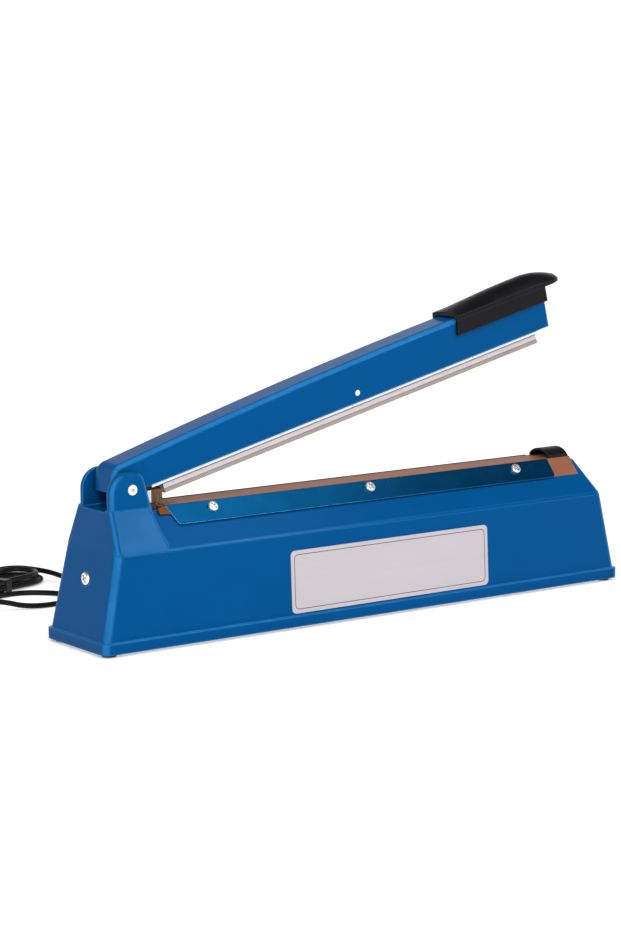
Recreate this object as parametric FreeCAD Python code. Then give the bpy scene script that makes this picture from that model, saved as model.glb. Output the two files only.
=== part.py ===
import FreeCAD, Part
import math
import os

# Impulse heat sealer for bags up to 300 mm wide, modelled open, in millimetres.
# X runs along the base with the hinge at -X, Y runs from front to back, Z is up.

V = FreeCAD.Vector

# Base housing
base_length = 420.0
base_width = 70.0
foot_height = 2.0
foot_diameter = 10.0
foot_inset_x = 8.0
foot_inset_y = 8.0
skirt_height = 7.0
skirt_step = 1.55
shoulder_z = 62.0
shoulder_inset_x = 12.5
shoulder_inset_y = 4.35
shoulder_edge = 1.0
roof_z = 84.0
roof_half_width = 11.5
roof_inset_left = 15.0
roof_inset_right = 22.0
corner_radius = 5.0
roof_corner_radius = 2.0
wall = 2.4
bottom_plate_thickness = 1.5
bottom_plate_recess = 0.5
plate_gap = 0.4
boss_diameter = 8.0
boss_inset_x = 24.0
boss_inset_y = 11.0
boss_height = 26.0
screw_clearance = 0.1

# Hinge tower
pivot_inset = 31.2
pivot_z = 100.0
ear_inner_half = 14.0
ear_thickness = 5.0
ear_round = 3.0
ear_side_gap = 0.3
ear_top_rise = 10.8
ear_left_radius = 13.0
ear_right_radius = 8.0
ear_root_depth = 10.0
ear_left_inset = 15.7
ear_right_low_inset = 48.0
ear_right_low_z = 82.0
ear_right_high_inset = 42.7
tower_base_left_inset = 13.1
tower_base_right_inset = 53.0
tower_top_left_inset = 14.6
tower_top_right_inset = 45.0
tower_round = 2.5
tower_foot_inset = 0.45
tower_top_z = 88.0
tower_floor_z = 87.0
pin_diameter = 5.0
pin_head_diameter = 6.8
pin_head_height = 0.9
running_clearance = 0.05

# Sealing bar, element and tape
bar_left_inset = 62.0
bar_right_inset = 46.0
bar_head_half = 10.0
bar_head_thickness = 1.5
bar_web_half = 6.0
bar_web_depth = 14.0
slot_clearance = 0.3
insulation_half = 4.0
insulation_thickness = 0.25
element_half = 1.5
element_thickness = 0.2
tape_thickness = 0.25
tape_run_down = 12.0
tape_corner = 4.0
tape_overhang_right = 21.0
left_block_length = 4.2
stud_diameter = 2.0
stud_depth = 8.0
nut_diameter = 4.0
nut_height = 2.4

# Clamp plates and their screws
clamp_left_inset = 60.0
clamp_right_inset = 46.5
clamp_cut = 5.0
clamp_rise = 2.0
clamp_drop = 13.0
clamp_lift = 0.55
clamp_thickness = 1.0
clamp_corner_radius = 3.0
clamp_screw_left = 33.5
clamp_screw_right = 31.2
clamp_screw_drop = 3.4
clamp_screw_head = 7.0
clamp_screw_head_height = 2.2
clamp_screw_shank = 3.0
clamp_screw_depth = 6.0

# Half round cap over the far end of the bar
cap_gap = 2.0
cap_length = 18.0
cap_half = 10.0
cap_side_height = 1.8
cap_height = 6.1
cap_wall = 1.6

# Arm, in its own frame: s runs along the arm from its datum near the pivot, n is square to it
arm_open_angle = 13.5
arm_datum_inset = 32.6
arm_datum_z = 99.7
arm_shortfall = 70.0
arm_half_width = 11.25
arm_wall = 2.0
arm_bottom_n = -3.6
arm_tail_s = -11.0
arm_heel_run = 6.0
arm_tail_n = 0.3
arm_root_s = -8.5
arm_root_n = 10.0
arm_shoulder_s = 0.0
arm_shoulder_n = 16.0
arm_crown_share = 0.42857
arm_crown_n = 23.0
arm_end_n = 24.9
arm_edge_radius = 3.5
boss_outer_diameter = 11.0
arm_boss_length = 3.0

# Pressure bar under the arm
flange_start_s = 18.0
press_start_s = 27.6
press_end_gap = 10.0
flange_half = 10.5
flange_thickness = 2.0
groove_half = 6.5
groove_height = 1.3
press_half = 8.0
press_bottom_n = -11.4
rubber_half = 6.0
rubber_bottom_n = -12.88
rubber_tongue_half = 3.0
rubber_tongue_height = 2.0
rubber_seat_gap = 0.1
press_pin_share = 0.524
press_pin_n = 2.7
press_pin_diameter = 3.6
lug_half_length = 8.0
lug_half_width = 5.0
lug_top_n = 7.0

# Handle cap
handle_back = 79.0
handle_lean = 3.6
handle_wall = 2.1
handle_fit = 0.15
handle_skirt_n = 14.4
handle_under_n = 24.4
handle_step = 0.1
handle_lip_length = 12.0
handle_lip_rise = 0.9
handle_lip_inset = 2.0
handle_screw_back = 50.0
# Thumb rest's top: heights at its sides and along its crown, and places from the arm's end
handle_side_n = 27.4
handle_start_n = 27.9
handle_crown_n = 33.6
handle_tip_n = 27.2
handle_tip_drop = 1.8
handle_crown_back = 8.0
handle_round_start = 5.0
handle_tip_reach = 19.7
handle_nose_reach = 19.8
handle_nose_power = 2.5
handle_rows = (-84.0, -74.0, -62.0, -50.0, -38.0, -26.0, -14.0, -4.0, 4.0, 8.0, 11.5, 14.5, 17.0, 18.7, 19.7)
handle_columns = 8
handle_screw_diameter = 3.0
handle_screw_seat = 0.6
handle_screw_head = 6.0
handle_screw_head_height = 2.0
handle_screw_length = 4.2

# Return plunger, its spring and the switch that it presses
plunger_arm_s = 21.4
plunger_half_x = 4.5
plunger_half_y = 6.0
plunger_dome_radius = 15.0
plunger_gap = 0.3
plunger_bottom_z = 66.0
guide_clearance = 0.3
spigot_diameter = 6.0
spigot_height = 4.0
bracket_top_z = 42.0
bracket_sheet = 2.0
bracket_half_x = 18.0
bracket_half_y = 15.0
spring_wire = 1.2
spring_mean_radius = 4.6
spring_turns = 5
spring_seat_gap = 0.3
tab_width = 8.0
tab_thickness = 2.6
tab_bottom_z = 58.6
tab_leg_gap = 0.6
tab_leg = 2.4
switch_length = 20.0
switch_width = 6.4
switch_height = 10.0
switch_offset_y = 7.4
switch_pin_pitch = 6.5
switch_pin_width = 3.0
switch_pin_length = 4.9
switch_pin_rise = 2.5
switch_pin_sheet = 0.6
button_length = 3.0
button_width = 2.4
button_rise = 3.0
button_depth = 2.0
button_fit = 0.3

# Timer, lamp and transformer
knob_x = 110.0
knob_z = 38.0
knob_diameter = 24.0
knob_height = 11.0
knob_ribs = 18
knob_rib_depth = 0.7
knob_face_gap = 0.5
shaft_diameter = 6.0
bush_diameter = 9.0
bush_nut_height = 2.0
pot_diameter = 17.0
pot_depth = 9.0
pot_seat_gap = 0.1
board_length = 50.0
board_height = 32.0
# Parts on the board: place across and up from the shaft, diameter, height
board_parts = [(-16.0, 6.0, 8.0, 12.0), (-6.0, -8.0, 6.3, 11.0), (14.0, 8.0, 5.0, 8.0)]
board_thickness = 1.6
lamp_x = 76.0
lamp_diameter = 8.0
lamp_rise = 2.5
lamp_depth = 14.0
transformer_x = 20.0
core_length = 57.0
core_width = 34.0
core_height = 46.0
core_window_length = 9.5
core_window_height = 27.0
coil_overhang = 8.0
coil_fit = 0.3
strap_sheet = 1.5
strap_foot = 14.0
strap_inset = 6.0

# Screws, with the recess's length, width and depth as shares of the head
pan_round_share = 0.55
recess_shares = (0.62, 0.16, 0.17)
recess_angles = (30.0, 120.0)
end_screw_z = 44.0
end_screw_head = 8.5
end_screw_head_height = 2.4
end_screw_shank = 4.0
end_screw_length = 9.0
base_screw_head = 7.0
base_screw_head_height = 1.2
base_screw_shank = 3.5
base_screw_length = 12.0

# Mains cord: gland, lead, hank, tail and plug
cord_diameter = 3.6
gland_x = -120.0
gland_z = 17.0
gland_length = 24.0
gland_root_diameter = 8.0
gland_tip_diameter = 5.2
gland_flange_diameter = 11.0
gland_flange_thickness = 2.0
hank_centre = V(-165.0, 187.0, 0)
hank_angle = 24.0
hank_half_run = 34.0
hank_end_radius = 10.8
hank_waist = 5.0
hank_pitch = 5.0
hank_layer = 4.6
hank_reversal = 2
hank_end_turn = 4
tie_width = 6.0
tie_gap = 0.4
tie_thickness = 0.8
plug_length = 34.0
plug_width = 20.0
plug_height = 13.0
plug_nose = 10.0
plug_pin_diameter = 4.0
plug_pin_length = 19.0
plug_pin_pitch = 11.4
plug_entry_place = (-200.0, 131.6)
lead_route = [(-118.5, 92.0, 14.5), (-115.5, 110.0, 7.0), (-111.0, 128.0, 2.6),
              (-107.0, 146.0, 1.9), (-105.2, 164.0, 2.6), (-107.2, 181.0, 4.6)]
lead_straight = 14.0
tail_route = [(-162.0, 164.5), (-149.0, 162.5), (-138.0, 154.5), (-130.5, 143.5), (-128.5, 131.5),
              (-136.0, 122.5), (-148.5, 119.0), (-163.0, 119.2)]
tail_straight = 13.0
tail_lift = [(-175.0, 122.6, 0.2), (-184.0, 126.6, 0.75), (-192.0, 129.8, 1.0)]

# Values worked out from the sizes above
skirt_bottom_z = foot_height
skirt_top_z = skirt_bottom_z + skirt_height
half_length = base_length / 2
half_width = base_width / 2
shoulder_half_x = half_length - shoulder_inset_x
shoulder_half_y = half_width - shoulder_inset_y
lower_half_x = half_length - skirt_step
lower_half_y = half_width - skirt_step
plate_z = skirt_bottom_z + bottom_plate_recess
plate_top_z = plate_z + bottom_plate_thickness
ear_outer_half = ear_inner_half + ear_thickness
pivot_x = -half_length + pivot_inset
ear_left_x = -half_length + ear_left_inset
ear_right_low_x = -half_length + ear_right_low_inset
ear_right_high_x = -half_length + ear_right_high_inset
tower_base_left_x = -half_length + tower_base_left_inset
tower_base_right_x = -half_length + tower_base_right_inset
tower_top_left_x = -half_length + tower_top_left_inset
tower_top_right_x = -half_length + tower_top_right_inset
bar_left_x = -half_length + bar_left_inset
bar_right_x = half_length - bar_right_inset
clamp_left_x = -half_length + clamp_left_inset
clamp_right_x = half_length - clamp_right_inset
arm_datum_x = -half_length + arm_datum_inset
arm_length = base_length - arm_shortfall
press_end_s = arm_length - press_end_gap
press_pin_s = arm_length * press_pin_share
arm_crown_s = arm_length * arm_crown_share
handle_start_s = arm_length - handle_back
handle_screw_s = arm_length - handle_screw_back
head_top_z = roof_z + bar_head_thickness
insulation_top_z = head_top_z + insulation_thickness
element_top_z = insulation_top_z + element_thickness
tape_top_z = element_top_z + tape_thickness
tape_right_x = bar_right_x + tape_overhang_right
plunger_x = pivot_x + plunger_arm_s
open_cos = math.cos(math.radians(arm_open_angle))
open_sin = math.sin(math.radians(arm_open_angle))
pivot_s = (pivot_x - arm_datum_x) * open_cos + (pivot_z - arm_datum_z) * open_sin
pivot_n = (pivot_z - arm_datum_z) * open_cos - (pivot_x - arm_datum_x) * open_sin
flange_bottom_n = arm_bottom_n - flange_thickness
groove_bottom_n = flange_bottom_n - groove_height
cap_left_x = bar_right_x + cap_gap
cord_radius = cord_diameter / 2
slope_run = shoulder_half_y - roof_half_width
slope_rise = roof_z - shoulder_z
slope_length = math.hypot(slope_run, slope_rise)
face_run = lower_half_y - shoulder_half_y
face_rise = shoulder_z - skirt_top_z
face_length = math.hypot(face_run, face_rise)


def block(x0, x1, y0, y1, z0, z1):
    """A box between two corners."""
    return Part.makeBox(x1 - x0, y1 - y0, z1 - z0, V(x0, y0, z0))


def rod(start, direction, diameter, length):
    """A round bar from a point along a direction."""
    return Part.makeCylinder(diameter / 2, length, start, direction)


def rounded_outline(x0, x1, half_y, z, radius):
    """A level rectangle with round corners, as a wire."""
    r = radius
    c = r * (1 - math.sqrt(0.5))
    edges = []
    corners = [
        (V(x1 - r, -half_y, z), V(x1 - c, -half_y + c, z), V(x1, -half_y + r, z)),
        (V(x1, half_y - r, z), V(x1 - c, half_y - c, z), V(x1 - r, half_y, z)),
        (V(x0 + r, half_y, z), V(x0 + c, half_y - c, z), V(x0, half_y - r, z)),
        (V(x0, -half_y + r, z), V(x0 + c, -half_y + c, z), V(x0 + r, -half_y, z)),
    ]
    for i, (a, b, d) in enumerate(corners):
        following = corners[(i + 1) % 4][0]
        edges.append(Part.Arc(a, b, d).toShape())
        edges.append(Part.LineSegment(d, following).toShape())
    return Part.Wire(edges)


def frustum(low, high):
    """A straight sided solid between two outlines."""
    return Part.makeLoft([low, high], True, True)


def side_profile(points, half_y):
    """Extrudes an outline in the XZ plane to both sides; three points in a row make an arc."""
    edges = []
    for kind, *p in points:
        p = [V(x, 0, z) for x, z in p]
        edge = Part.LineSegment(*p) if kind == "line" else Part.Arc(*p)
        edges.append(edge.toShape())
    face = Part.Face(Part.Wire(Part.__sortEdges__(edges)))
    face.translate(V(0, -half_y, 0))
    return face.extrude(V(0, 2 * half_y, 0))


def domed_face(a, b, c, top, d):
    """A flat face with three straight sides and an arc from c over the top point to d."""
    return Part.Face(domed_wire(a, b, c, top, d))


def domed_wire(a, b, c, top, d):
    """Three straight sides and an arc from c over the top point to d."""
    edges = [Part.LineSegment(a, b), Part.LineSegment(b, c), Part.Arc(c, top, d), Part.LineSegment(d, a)]
    return Part.Wire([e.toShape() for e in edges])


def polygon(points):
    """Straight edges round an outline, for side_profile."""
    n = len(points)
    return [("line", points[i], points[(i + 1) % n]) for i in range(n)]


def slope_point(x, drop, lift, side):
    """A point on the front (side -1) or back (side 1) slope, lift above its surface."""
    along_y, along_z = slope_run / slope_length, slope_rise / slope_length
    y = roof_half_width + drop * along_y + lift * along_z
    z = roof_z - drop * along_z + lift * along_y
    return V(x, side * y, z)


def slope_normal(side):
    """The outward direction of a slope."""
    return V(0, side * slope_rise / slope_length, slope_run / slope_length)


def back_point(x, z, lift):
    """A point on the back face at a height, lift outside its surface."""
    y = lower_half_y - (z - skirt_top_z) * face_run / face_rise
    return V(x, y, z) + back_normal() * lift


def back_normal():
    """The outward direction of the back face."""
    return V(0, face_rise / face_length, face_run / face_length)


def to_open(shape):
    """Swings a shape from the arm's own frame to its open place."""
    shape = shape.copy()
    shape.translate(V(arm_datum_x, 0, arm_datum_z))
    shape.rotate(V(arm_datum_x, 0, arm_datum_z), V(0, 1, 0), -arm_open_angle)
    return shape


def between(a, b, share):
    """The value part of the way from a to b."""
    return a + (b - a) * share


def housing_form(inset):
    """The base's outer form, or the cavity inside it when it is inset."""
    i = inset
    c = corner_radius
    top = roof_z - i
    shoulder = shoulder_z - i / 2
    low = skirt_top_z - i
    below, above = shoulder - shoulder_edge, shoulder + shoulder_edge

    def lower_outline(z):
        share = (z - low) / (shoulder - low)
        x = between(lower_half_x, shoulder_half_x, share) - i
        return rounded_outline(-x, x, between(lower_half_y, shoulder_half_y, share) - i, z, c)

    def upper_outline(z):
        share = (z - shoulder) / (top - shoulder)
        left = between(shoulder_half_x, half_length - roof_inset_left, share) - i
        right = between(shoulder_half_x, half_length - roof_inset_right, share) - i
        half_y = between(shoulder_half_y - i, roof_half_width - i / 2, share)
        return rounded_outline(-left, right, half_y, z, between(c, roof_corner_radius, share))

    lower = frustum(lower_outline(low), lower_outline(below))
    band = frustum(lower_outline(below), upper_outline(above))
    upper = frustum(upper_outline(above), upper_outline(top))
    skirt = frustum(
        rounded_outline(-half_length + i, half_length - i, half_width - i, skirt_bottom_z - i, c),
        rounded_outline(-half_length + i, half_length - i, half_width - i, skirt_top_z - i, c),
    )
    return skirt.fuse([lower, band, upper]).removeSplitter()


def tower():
    """The hinge tower: a tapered block that carries two ears."""
    foot_half = shoulder_half_y - tower_foot_inset
    body = frustum(
        rounded_outline(tower_base_left_x, tower_base_right_x, foot_half, shoulder_z, tower_round),
        rounded_outline(tower_top_left_x, tower_top_right_x, ear_outer_half, tower_top_z, tower_round),
    )
    top_z = pivot_z + ear_top_rise
    low_z = shoulder_z + ear_root_depth
    lean = (ear_right_low_x - ear_right_high_x) / (pivot_z - ear_right_low_z)
    top_right_x = ear_right_low_x - lean * (top_z - ear_right_low_z)
    ears = side_profile(polygon([
        (ear_left_x, low_z), (ear_right_low_x, low_z), (ear_right_low_x, ear_right_low_z),
        (top_right_x, top_z), (ear_left_x, top_z),
    ]), ear_outer_half)
    ears = ears.makeFillet(ear_left_radius, top_edges_along_y(ears, ear_left_x, top_z))
    ears = ears.makeFillet(ear_right_radius, top_edges_along_y(ears, top_right_x, top_z))
    rim = []
    for edge in ears.Edges:
        box = edge.BoundBox
        outer = box.YLength < 0.01 and abs(abs(box.YMin) - ear_outer_half) < 0.01
        if outer and box.ZMax > ear_right_low_z + 1:
            rim.append(edge)
    ears = ears.makeFillet(ear_round, rim)
    slot = block(ear_left_x - wall, ear_right_low_x + wall, -ear_inner_half, ear_inner_half,
                 tower_floor_z, top_z + wall)
    return body.fuse(ears).cut(slot)


def top_edges_along_y(shape, x, z):
    """The edge that runs along Y at a corner of a side profile."""
    found = []
    for edge in shape.Edges:
        box = edge.BoundBox
        if box.XLength + box.ZLength < 0.01 and abs(box.XMin - x) + abs(box.ZMin - z) < 0.02:
            found.append(edge)
    return found


def base_housing():
    """The moulded housing with its tower, bosses, slot and holes."""
    outer = housing_form(0).fuse(tower()).removeSplitter()
    slot = block(bar_left_x - slot_clearance, bar_right_x + slot_clearance,
                 -bar_web_half - slot_clearance, bar_web_half + slot_clearance,
                 shoulder_z, tower_top_z)
    shell = outer.cut(housing_form(wall).fuse(slot))
    bosses = []
    for x in (-1, 1):
        for y in (-1, 1):
            centre = V(x * (half_length - boss_inset_x), y * (half_width - boss_inset_y), plate_top_z)
            post = rod(centre, V(0, 0, 1), boss_diameter, boss_height)
            r = boss_diameter / 4
            reach = y * (boss_inset_y + 5)
            web = block(centre.x - r, centre.x + r, min(centre.y, centre.y + reach),
                        max(centre.y, centre.y + reach), plate_top_z, plate_top_z + boss_height)
            bosses.append(post.fuse(web).common(housing_form(wall / 2)))
    shell = shell.fuse(bosses).removeSplitter()
    cuts = []
    guide_x = plunger_half_x + guide_clearance
    guide_y = plunger_half_y + guide_clearance
    cuts.append(block(plunger_x - guide_x, plunger_x + guide_x, -guide_y, guide_y,
                      shoulder_z, tower_top_z + 5))
    hole = pin_diameter + 2 * running_clearance
    cuts.append(rod(V(pivot_x, -ear_outer_half - 1, pivot_z), V(0, 1, 0), hole, 2 * ear_outer_half + 2))
    for x in stud_places():
        cuts.append(rod(V(x, 0, roof_z + 1), V(0, 0, -1), stud_diameter + 2 * screw_clearance, 12))
    for screw in clamp_screw_places():
        cuts.append(clamp_screw_hole(*screw))
    cuts.append(end_screw_pocket())
    for x, y in base_screw_places():
        cuts.append(rod(V(x, y, plate_z - 1), V(0, 0, 1), base_screw_shank + 2 * screw_clearance,
                        base_screw_length + 2))
    n = back_normal()
    cuts.append(rod(back_point(knob_x, knob_z, -10), n, bush_diameter + 2 * screw_clearance, 20))
    cuts.append(rod(back_point(lamp_x, knob_z, -10), n, lamp_diameter + 2 * screw_clearance, 20))
    cuts.append(rod(back_point(gland_x, gland_z, -10), n, gland_root_diameter + 2 * screw_clearance, 20))
    for tool in cuts:
        shell = shell.cut(tool)
    return shell


def bottom_plate():
    """The flat steel plate that closes the base from below."""
    gap = wall + plate_gap
    x, y = half_length - gap, half_width - gap
    sheet = frustum(rounded_outline(-x, x, y, plate_z, corner_radius),
                    rounded_outline(-x, x, y, plate_top_z, corner_radius))
    holes = []
    for x, y in base_screw_places():
        hole = base_screw_shank + 2 * screw_clearance
        holes.append(rod(V(x, y, plate_z - 1), V(0, 0, 1), hole, bottom_plate_thickness + 2))
    return sheet.cut(holes)


def base_screw_places():
    """Where the bottom plate's screws go."""
    x = half_length - boss_inset_x
    y = half_width - boss_inset_y
    return [(sx * x, sy * y) for sx in (-1, 1) for sy in (-1, 1)]


def base_screws():
    """Four screws from below through the plate into the bosses."""
    screws = []
    for x, y in base_screw_places():
        head = rod(V(x, y, plate_z - base_screw_head_height), V(0, 0, 1), base_screw_head,
                   base_screw_head_height)
        shank = rod(V(x, y, plate_z), V(0, 0, 1), base_screw_shank, base_screw_length)
        screws.append(head.fuse(shank))
    return Part.makeCompound(screws)


def rubber_feet():
    """Four round feet under the bottom plate."""
    feet = []
    for sx in (-1, 1):
        for sy in (-1, 1):
            x = sx * (half_length - foot_inset_x)
            y = sy * (half_width - foot_inset_y)
            foot = Part.makeCone(foot_diameter / 2 - 0.5, foot_diameter / 2, plate_z, V(x, y, 0))
            feet.append(foot)
    return Part.makeCompound(feet)


def hinge_pin():
    """The rivet that the arm turns on, with a low head on each ear."""
    reach = ear_outer_half
    pin = rod(V(pivot_x, -reach, pivot_z), V(0, 1, 0), pin_diameter, 2 * reach)
    heads = []
    for side in (-1, 1):
        heads.append(rod(V(pivot_x, side * reach, pivot_z), V(0, side, 0), pin_head_diameter,
                         pin_head_height))
    pin = pin.fuse(heads)
    rims = [e for e in pin.Edges if abs(abs(e.BoundBox.YMin) - reach - pin_head_height) < 0.01
            and e.BoundBox.YLength < 0.01]
    return pin.makeFillet(pin_head_height * 0.6, rims)


def end_screw_pocket():
    """A flat seat and a hole in the sloped left end face."""
    seat = rod(V(end_seat_x(), 0, end_screw_z), V(-1, 0, 0), end_screw_head + 1.0, 10)
    hole = rod(V(end_seat_x() + end_screw_length + 2, 0, end_screw_z), V(-1, 0, 0),
               end_screw_shank + 2 * screw_clearance, end_screw_length + 5)
    return seat.fuse(hole)


def end_seat_x():
    """Where the end screw's seat lies, just inside the sloped face."""
    slope = (lower_half_x - shoulder_half_x) / face_rise
    low_edge = end_screw_z + end_screw_head / 2 + 0.5
    return -(lower_half_x - (low_edge - skirt_top_z) * slope)


def pan_screw(seat, direction, head, head_height, shank, depth):
    """A pan head screw: the head stands out of its seat, the shank goes in."""
    top = rod(seat, direction, head, head_height)
    rim = [e for e in top.Edges if (e.BoundBox.Center - seat).dot(direction) > head_height * 0.9]
    top = top.makeFillet(head_height * pan_round_share, rim)
    top = top.cut(cross_recess(seat + direction * head_height, direction, head))
    return top.fuse(rod(seat, direction * -1, shank, depth))


def cross_recess(place, direction, head):
    """The cross shaped recess of a screw head, at the middle of its top."""
    length, width, depth = (share * head for share in recess_shares)
    turn = FreeCAD.Placement(place, FreeCAD.Rotation(V(0, 0, 1), direction))
    arms = []
    for angle in recess_angles:
        arm = Part.makeBox(length, width, 2 * depth, V(-length / 2, -width / 2, -depth))
        arm.rotate(V(0, 0, 0), V(0, 0, 1), angle)
        arm.Placement = turn.multiply(arm.Placement)
        arms.append(arm)
    return arms


def end_screw():
    """The screw in the left end of the housing."""
    seat = V(end_seat_x(), 0, end_screw_z)
    return pan_screw(seat, V(-1, 0, 0), end_screw_head, end_screw_head_height, end_screw_shank,
                     end_screw_length)


def clamp_screw_places():
    """Station and side of each clamp screw."""
    places = []
    for side in (-1, 1):
        first, last = clamp_left_x + clamp_screw_left, clamp_right_x - clamp_screw_right
        for x in (first, (first + last) / 2, last):
            places.append((x, side))
    return places


def clamp_screw_hole(x, side):
    """The hole of one clamp screw through plate, tape and housing."""
    top = slope_point(x, clamp_screw_drop, clamp_lift + clamp_thickness + 1, side)
    return rod(top, slope_normal(side) * -1, clamp_screw_shank + 2 * screw_clearance,
               clamp_screw_depth + clamp_lift + clamp_thickness + 3)


def clamp_screws(side):
    """Three pan head screws that hold one clamp plate."""
    screws = []
    for x, place in clamp_screw_places():
        if place == side:
            seat = slope_point(x, clamp_screw_drop, clamp_lift + clamp_thickness, side)
            screws.append(pan_screw(seat, slope_normal(side), clamp_screw_head, clamp_screw_head_height,
                                    clamp_screw_shank, clamp_screw_depth + clamp_lift + clamp_thickness))
    return Part.makeCompound(screws)


def clamp_plate(side):
    """A painted strip on one slope that holds the tape's edge down."""
    corners = [(clamp_left_x, -clamp_rise), (clamp_right_x, -clamp_rise),
               (clamp_right_x, clamp_drop), (clamp_left_x + clamp_cut, clamp_drop)]
    wire = Part.makePolygon([slope_point(x, d, clamp_lift, side) for x, d in corners + corners[:1]])
    plate = Part.Face(wire).extrude(slope_normal(side) * clamp_thickness)
    lower = []
    for edge in plate.Edges:
        a, b = edge.Vertexes[0].Point, edge.Vertexes[-1].Point
        short = (a - b).Length < clamp_thickness * 1.5
        if short and min(a.z, b.z) < slope_point(0, clamp_drop - 2, 0, side).z:
            lower.append(edge)
    plate = plate.makeFillet(clamp_corner_radius, lower)
    return plate.cut([clamp_screw_hole(x, s) for x, s in clamp_screw_places() if s == side])


def sealing_bar():
    """An aluminium T bar: its head rests on the roof and its web hangs in the slot."""
    head = block(bar_left_x, bar_right_x, -bar_head_half, bar_head_half, roof_z, head_top_z)
    web = block(bar_left_x, bar_right_x, -bar_web_half, bar_web_half, roof_z - bar_web_depth, roof_z)
    return head.fuse(web).removeSplitter()


def element_insulation():
    """The woven strip between the bar and the heating element."""
    return block(bar_left_x, bar_right_x, -insulation_half, insulation_half, head_top_z, insulation_top_z)


def heating_element():
    """The flat heating ribbon along the bar."""
    left = bar_left_x - left_block_length
    return block(left, tape_right_x, -element_half, element_half, insulation_top_z, element_top_z)


def end_blocks():
    """Phenolic blocks at both ends of the bar, with the terminal holes."""
    gap = slot_clearance
    right = block(bar_right_x + gap, tape_right_x, -bar_head_half, bar_head_half, roof_z, insulation_top_z)
    left = block(bar_left_x - left_block_length, bar_left_x - gap, -bar_head_half, bar_head_half,
                 roof_z, insulation_top_z)
    holes = [rod(V(x, 0, roof_z - 1), V(0, 0, 1), stud_diameter + 2 * screw_clearance, 8)
             for x in stud_places()]
    return Part.makeCompound([left.cut(holes), right.cut(holes)])


def stud_places():
    """Stations of the two terminal studs."""
    left = bar_left_x - (left_block_length + slot_clearance) / 2
    right = (bar_right_x + tape_right_x) / 2
    return [left, right]


def element_terminals():
    """Brass studs that feed the element, with nuts under the roof."""
    studs = []
    for x in stud_places():
        stud = rod(V(x, 0, insulation_top_z), V(0, 0, -1), stud_diameter, stud_depth)
        nut = rod(V(x, 0, roof_z - wall), V(0, 0, -1), nut_diameter, nut_height)
        studs.append(stud.fuse(nut))
    return Part.makeCompound(studs)


def ptfe_tape():
    """The brown release tape: over the element and down both slopes."""
    edge_y = bar_head_half + 0.1
    outline = []
    for side in (1, -1):
        inner = [slope_point(0, tape_run_down, 0, side), slope_point(0, 0, 0, side),
                 V(0, side * edge_y, element_top_z)]
        outer = [slope_point(0, tape_run_down, tape_thickness, side),
                 slope_point(0, 0, tape_thickness, side),
                 V(0, side * (edge_y + tape_thickness), tape_top_z)]
        outline.append((inner, outer))
    (back_in, back_out), (front_in, front_out) = outline
    points = back_in + front_in[::-1] + front_out + back_out[::-1]
    wire = Part.makePolygon(points + points[:1])
    left = bar_left_x - slot_clearance
    wire.translate(V(left, 0, 0))
    tape = Part.Face(wire).extrude(V(tape_right_x - left, 0, 0))
    holes = [clamp_screw_hole(x, s) for x, s in clamp_screw_places()]
    corner = block(left - 1, clamp_left_x + clamp_cut + tape_corner, -half_width, half_width,
                   shoulder_z, slope_point(0, tape_corner, 0, 1).z)
    return tape.cut(holes + [corner])


def bar_end_cap():
    """A half round black cap over the bar's far end, open towards the bar."""
    def arch(half, side, height):
        low = tape_top_z
        a, b = V(0, -half, low), V(0, half, low)
        c, d = V(0, half, low + side), V(0, -half, low + side)
        top = V(0, 0, low + height)
        return domed_face(a, b, c, top, d)

    cap = arch(cap_half, cap_side_height, cap_height)
    hollow = arch(cap_half - cap_wall, cap_side_height, cap_height - cap_wall)
    cap.translate(V(cap_left_x, 0, 0))
    hollow.translate(V(cap_left_x - 1, 0, 0))
    cap = cap.extrude(V(cap_length, 0, 0))
    far = [e for e in cap.Edges if e.BoundBox.XMin > cap_left_x + cap_length - 0.01
           and e.BoundBox.ZMax > tape_top_z + cap_side_height + 1]
    cap = cap.makeFillet(cap_wall * 0.9, far)
    return cap.cut(hollow.extrude(V(cap_length - cap_wall + 1, 0, 0)))


def arm_outline(inset):
    """The arm's side view; inset gives the hollow inside it."""
    i = inset
    end = arm_length - i
    bottom = arm_bottom_n - (10 if i else 0)
    crown = (arm_crown_s, arm_crown_n - i)
    root = (arm_root_s + i, arm_root_n - i * 0.4)
    shoulder = (arm_shoulder_s + i * 0.3, arm_shoulder_n - i)
    tail = (arm_tail_s + i, arm_tail_n if not i else bottom)
    top_end = (end, arm_end_n - i)
    bend = ((root[0] + shoulder[0]) / 2 - 1.2, (root[1] + shoulder[1]) / 2 + 1.2)
    edges = [
        ("line", (end, bottom), top_end),
        ("arc", top_end, crown, shoulder),
        ("arc", shoulder, bend, root),
        ("line", root, tail),
    ]
    if i:
        edges.append(("line", tail, (end, bottom)))
    else:
        heel = (arm_tail_s + arm_heel_run, arm_bottom_n)
        edges.append(("line", tail, heel))
        edges.append(("line", heel, (end, bottom)))
    return edges


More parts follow.
